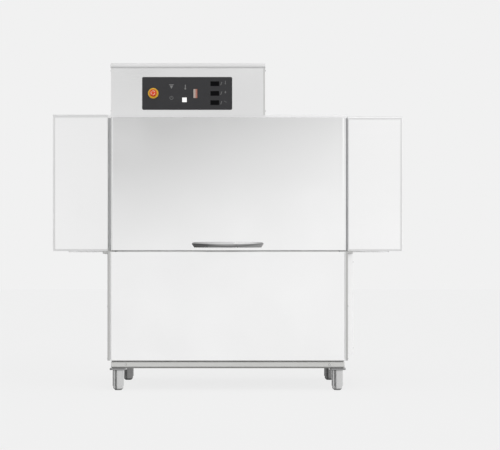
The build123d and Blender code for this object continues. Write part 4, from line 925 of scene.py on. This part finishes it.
# ---------------------------------------------------------------- small pieces of the casing
class DISHWASHER_OT_hood_hems(bpy.types.Operator):
    """Press doubled hems round the front and rear of both hoods"""

    bl_idname = "dishwasher.hood_hems"
    bl_label = "Hood hems"

    def execute(self, context):
        sheet = context.scene.dishwasher_sheet
        # dulled where the doubled edge was pressed flat
        finish = brushed_sheet("pressed_hem", sheet.hem, 0.5, 0.04, sheet.grind, bump=0.03)
        proud = 1.2 * MM
        for node, outward in (("entry_hood", -1), ("exit_hood", 1)):
            low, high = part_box(node)
            far, near = (low[0], high[0]) if outward < 0 else (high[0], low[0])
            inner = far - outward * sheet.hem_width
            bottom, top = low[2] + 1 * MM, high[2] - 6 * MM
            level_height = sheet.hem_width * 0.7
            upright = sorted((far - outward * 4 * MM, inner))
            level = sorted((near, inner))
            hems = []
            for front, rear in ((low[1] - proud, low[1]), (high[1], high[1] + proud)):
                hems += [
                    ((upright[0], front, bottom), (upright[1], rear, top)),
                    ((level[0], front, top - level_height), (level[1], rear, top)),
                    ((level[0], front, bottom), (level[1], rear, bottom + level_height)),
                ]
            bars(f"{node}_hem", hems, finish, 0.5 * MM)
        return {"FINISHED"}


class DISHWASHER_OT_corner_strips(bpy.types.Operator):
    """Put darker strips on the lower corner joints of the cabinet, painted shade for the shadowed gaps"""

    bl_idname = "dishwasher.corner_strips"
    bl_label = "Corner strips"

    def execute(self, context):
        sheet = context.scene.dishwasher_sheet
        # a darker grey strip, painted shade where the corner gap lies in shadow
        finish = brushed_sheet("dull_corner_strip", sheet.trim, 0.5, 0.05, sheet.grind, bump=0.03)
        strips = []
        for node, side in (("left_side_panel", -1), ("right_side_panel", 1)):
            low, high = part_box(node)
            outer = low[0] if side < 0 else high[0]
            x = sorted((outer + side * 0.5 * MM, outer - side * sheet.strip_width))
            strips.append(((x[0], low[1] - 0.8 * MM, low[2] + 2 * MM), (x[1], low[1], high[2] - 1 * MM)))
        bars("corner_strips", strips, finish, 0.3 * MM)
        return {"FINISHED"}


class DISHWASHER_OT_lid_lip(bpy.types.Operator):
    """Roll a lip along the front of the control box's lid"""

    bl_idname = "dishwasher.lid_lip"
    bl_label = "Lid lip"

    def execute(self, context):
        sheet = context.scene.dishwasher_sheet
        low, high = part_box("control_box_lid")
        # upright at its top, curling in towards the box
        curl = math.radians(20)
        steps = 8
        top, bottom = high[2] + 4 * MM, low[2]
        radius = (top - bottom) / math.sin(curl)
        foremost = low[1] - radius * (1 - math.cos(curl))
        turns = [curl * i / steps for i in range(steps + 1)]
        front = [(foremost + radius * (1 - math.cos(a)), top - radius * math.sin(a)) for a in turns]
        back = low[1] + 2 * MM
        profile = front + [(back, bottom), (back, top)]
        lip = bmesh.new()
        ends = [[lip.verts.new((x, y, z)) for y, z in profile] for x in (low[0], high[0])]
        count = len(profile)
        for i in range(count):
            j = (i + 1) % count
            lip.faces.new((ends[0][i], ends[0][j], ends[1][j], ends[1][i]))
        for side in ends:
            lip.faces.new(side)
        finish = brushed_sheet("rolled_satin_lip", sheet.box, 0.36, 0.03, sheet.grind, bump=0.03)
        soften(mesh_object("lid_lip", lip, finish), 0.6 * MM)
        return {"FINISHED"}


class DISHWASHER_OT_folds(bpy.types.Operator):
    """Fold the control box's right edge, and fill the joint between the lower panel and the base, both in a
    darker grey that is painted shade
    """

    bl_idname = "dishwasher.folds"
    bl_label = "Box fold and base joint"

    def execute(self, context):
        sheet = context.scene.dishwasher_sheet
        # a darker grey for the box's shaded edge and for the shadow line of the base joint: painted shade
        finish = brushed_sheet("folded_edge_painted_shade", sheet.fold, 0.5, 0.04, sheet.grind, bump=0.03)
        low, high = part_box("control_box_front")
        start = (high[0] - 10 * MM, low[1] - 0.8 * MM, low[2] + 18 * MM)
        bars("box_edge_fold", [(start, (high[0] - 1 * MM, low[1], high[2]))], finish, 0.3 * MM)

        low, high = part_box("lower_front_panel")
        start = (low[0] + 6 * MM, low[1] + 0.5 * MM, low[2] - 2.6 * MM)
        end = (high[0] - 6 * MM, low[1] + 6 * MM, low[2] + 2 * MM)
        bars("base_joint", [(start, end)], finish, 0.8 * MM)
        return {"FINISHED"}


class DISHWASHER_OT_door_edges(bpy.types.Operator):
    """Seal the door's edges with lips, a doubled bead at the right and a fold at the left; the lips and the
    fold carry painted shade
    """

    bl_idname = "dishwasher.door_edges"
    bl_label = "Door edges"

    def execute(self, context):
        sheet = context.scene.dishwasher_sheet
        low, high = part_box("door_panel")
        bead_width = 7 * MM

        # the lips run on the door's rear edge and close the guide slots; their grey is a seal's grey and also
        # painted shade for the shadowed slots
        seal = moulded_plastic("grey_seal_painted_shade", sheet.lip, 0.6, 0.8, 0.05)
        dress(seal, "door_runners")
        lips = [
            ((left, high[1] - 3 * MM, low[2] + 3 * MM), (right, high[1] - 0.6 * MM, high[2] - 3 * MM))
            for left, right in ((low[0] - 15.5 * MM, low[0]), (high[0] + bead_width, high[0] + 17 * MM))
        ]
        bars("door_edge_lips", lips, seal, 0.5 * MM, "door")

        # the bead stiffens the right edge and is ground with the door
        start = (high[0] - 4 * MM, low[1] + 3 * MM, low[2])
        end = (high[0] + bead_width, high[1] - 6 * MM, high[2])
        bars("door_edge_bead", [(start, end)], finish_of("door_panel"), 1.5 * MM, "door")

        # the left edge is folded back flat, in a darker colour than the sheet: painted shade
        satin = brushed_sheet("door_edge_painted_shade", sheet.door_fold, 0.2, 0.02, sheet.grind, bump=0.015)
        start = (low[0], low[1] - 0.3 * MM, low[2])
        end = (low[0] + 10 * MM, low[1] + 12 * MM, high[2])
        bars("door_left_fold", [(start, end)], satin, 1.5 * MM, "door")
        return {"FINISHED"}


class DISHWASHER_OT_joint_cover(bpy.types.Operator):
    """Cover the joint between the door and the exit hood with a grey strip, painted shade for the shadowed
    joint
    """

    bl_idname = "dishwasher.joint_cover"
    bl_label = "Joint cover"

    def execute(self, context):
        low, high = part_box("exit_hood")
        start = (low[0] - 2 * MM, low[1] - 1 * MM, low[2] + 1 * MM)
        end = (low[0] + 4.5 * MM, low[1], high[2] - 6 * MM)
        # the seal's grey, here painted shade
        bars("joint_cover", [(start, end)], finish_of("door_runners"), 0.3 * MM)
        return {"FINISHED"}


class DISHWASHER_OT_hood_angles(bpy.types.Operator):
    """Carry the hoods' front corners at the waist with small angles"""

    bl_idname = "dishwasher.hood_angles"
    bl_label = "Hood angles"

    def execute(self, context):
        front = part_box("exit_hood")[0][1] - 1 * MM
        low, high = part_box("table_flanges")
        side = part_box("right_side_panel")[1][0] + 1 * MM
        angles = [
            ((left, front, low[2]), (right, low[1], high[2] - 0.5 * MM))
            for left, right in ((low[0] + 1 * MM, -side), (side, high[0] - 1 * MM))
        ]
        # the angles take the corner strips' darker grey, which is painted shade
        bars("hood_angles", angles, bpy.data.materials["dull_corner_strip"], 0.5 * MM)
        return {"FINISHED"}


class DISHWASHER_OT_cover_fold(bpy.types.Operator):
    """Fold back the service cover's front edge, up to the flange above it"""

    bl_idname = "dishwasher.cover_fold"
    bl_label = "Service cover fold"

    def execute(self, context):
        low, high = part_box("right_service_cover")
        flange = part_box("table_flanges")[0][2]
        start = (low[0] + 1 * MM, low[1] - 0.8 * MM, low[2] + 1 * MM)
        end = (high[0] - 1 * MM, low[1] + 6 * MM, flange)
        bars("cover_front_fold", [(start, end)], finish_of("right_service_cover"), 0.3 * MM)
        return {"FINISHED"}


class DISHWASHER_OT_spring_tapes(bpy.types.Operator):
    """Stand in for the spring tapes, which wind onto their reels as the door rises"""

    bl_idname = "dishwasher.spring_tapes"
    bl_label = "Spring tapes"

    def execute(self, context):
        blued = finish_of("left_spring_tape")
        for side in ("left", "right"):
            node = f"{side}_spring_tape"
            low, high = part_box(node)
            tape = bmesh.new()
            bar(tape, low, high)
            # rings along its length let the tape shorten evenly
            upright = [e for e in tape.edges if abs(e.verts[0].co.z - e.verts[1].co.z) > 100 * MM]
            bmesh.ops.subdivide_edges(tape, edges=upright, cuts=12)
            piece = mesh_object(f"{side}_wound_tape", tape, blued)
            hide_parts(node)
            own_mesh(piece)
        return {"FINISHED"}


class DISHWASHER_OT_screws(bpy.types.Operator):
    """Fasten the rear, the service cover, the sides and the control box with pan-head screws"""

    bl_idname = "dishwasher.screws"
    bl_label = "Pan-head screws"

    def execute(self, context):
        size = context.scene.dishwasher_fasteners
        steel = polished_steel("zinc_plated_screw", "#BFC1C2", 0.24)
        tree = pan_head_tree()
        sizes = {"Diameter": size.screw_head, "Height": size.head_height}
        half = size.head_height / 2
        edge = 12 * MM

        low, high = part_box("rear_panel")
        across, upward = [run(low[i] + edge, high[i] - edge, size.pitch) for i in (0, 2)]
        spots = [(x, high[1] + half, z) for z in upward for x in (across[0], across[-1])]
        spots += [(x, high[1] + half, z) for x in across[1:-1] for z in (upward[0], upward[-1])]
        repeat("rear_screws", tree, spots, sizes, "rear", steel)

        low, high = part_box("right_service_cover")
        inset = 34 * MM
        spots = [
            (high[0] + half, y, z)
            for y in run(low[1] + inset, high[1] - inset, size.pitch)
            for z in (low[2] + inset, high[2] - inset)
        ]
        repeat("cover_screws", tree, spots, sizes, "right", steel)

        for side in ("left", "right"):
            low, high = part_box(f"{side}_side_panel")
            x = low[0] - half if side == "left" else high[0] + half
            spots = [
                (x, y, z)
                for z in run(low[2] + edge, high[2] - edge, size.pitch)
                for y in (low[1] + 2 * edge, high[1] - 2 * edge)
            ]
            repeat(f"{side}_side_panel_screws", tree, spots, sizes, side, steel)

        low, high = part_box("control_box_shell")
        box_pitch = 180 * MM
        for side, x in (("left", low[0] - half), ("right", high[0] + half)):
            spots = [
                (x, y, z)
                for y in run(low[1] + 2 * edge, high[1] - 2 * edge, box_pitch)
                for z in (low[2] + 2 * edge, high[2] - edge)
            ]
            repeat(f"box_{side}_screws", tree, spots, sizes, side, steel)
        return {"FINISHED"}


class DISHWASHER_OT_filter_holes(bpy.types.Operator):
    """Pierce the tank's filters with rows of small holes"""

    bl_idname = "dishwasher.filter_holes"
    bl_label = "Filter holes"

    def execute(self, context):
        # the dark of the tank below, as a hole shows it
        dark = moulded_plastic("hole_shadow", "#3C3E40", 0.7, 1.2, 0.0)
        hole = {"Diameter": 9 * MM, "Height": 0.3 * MM}
        pitch = 24 * MM
        low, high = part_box("tank_filters")
        grid = [
            (x, y, high[2] + 0.1 * MM)
            for x in run(low[0] + 40 * MM, high[0] - 40 * MM, pitch)
            for y in run(low[1] + 30 * MM, high[1] - 30 * MM, pitch)
        ]
        # the overflow pipe stands in the filter, with a plain collar round it
        pipe_low, pipe_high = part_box("overflow_pipe")
        clear = 16 * MM
        places = [
            (x, y, z)
            for x, y, z in grid
            if not (
                pipe_low[0] - clear < x < pipe_high[0] + clear
                and pipe_low[1] - clear < y < pipe_high[1] + clear
            )
        ]
        repeat("filter_holes", pressed_hole_tree(), places, hole, "up", dark)
        return {"FINISHED"}


# ---------------------------------------------------------------- panel, registration, run
class DISHWASHER_PT_sidebar(bpy.types.Panel):
    """Lists the pieces and their settings"""

    bl_idname = "DISHWASHER_PT_sidebar"
    bl_label = "Rack dishwasher"
    bl_space_type = "VIEW_3D"
    bl_region_type = "UI"
    bl_category = "Dishwasher"

    def draw(self, context):
        for operator in OPERATORS:
            self.layout.operator(operator.bl_idname)
        for name in SETTINGS:
            group = getattr(context.scene, name)
            box = self.layout.box()
            for key in group.__annotations__:
                box.prop(group, key)


SETTINGS = {
    "dishwasher_studio": StudioSettings,
    "dishwasher_sheet": SheetSettings,
    "dishwasher_controls": ControlSettings,
    "dishwasher_fasteners": FastenerSettings,
}
# later operators use finishes that earlier ones made
OPERATORS = (
    DISHWASHER_OT_studio,
    DISHWASHER_OT_casing,
    DISHWASHER_OT_chamber,
    DISHWASHER_OT_controls,
    DISHWASHER_OT_symbols,
    DISHWASHER_OT_hood_hems,
    DISHWASHER_OT_corner_strips,
    DISHWASHER_OT_lid_lip,
    DISHWASHER_OT_folds,
    DISHWASHER_OT_door_edges,
    DISHWASHER_OT_joint_cover,
    DISHWASHER_OT_hood_angles,
    DISHWASHER_OT_cover_fold,
    DISHWASHER_OT_spring_tapes,
    DISHWASHER_OT_screws,
    DISHWASHER_OT_filter_holes,
)
CLASSES = (*SETTINGS.values(), *OPERATORS, DISHWASHER_PT_sidebar)


def register():
    """Add the settings, the operators and the panel."""
    for cls in CLASSES:
        bpy.utils.register_class(cls)
    for name, group in SETTINGS.items():
        setattr(bpy.types.Scene, name, PointerProperty(type=group))


def unregister():
    """Take them away again."""
    for name in SETTINGS:
        delattr(bpy.types.Scene, name)
    for cls in reversed(CLASSES):
        bpy.utils.unregister_class(cls)


def main():
    """Make every piece."""
    register()
    for operator in OPERATORS:
        family, name = operator.bl_idname.split(".")
        getattr(getattr(bpy.ops, family), name)()


if __name__ == "__main__":
    main()
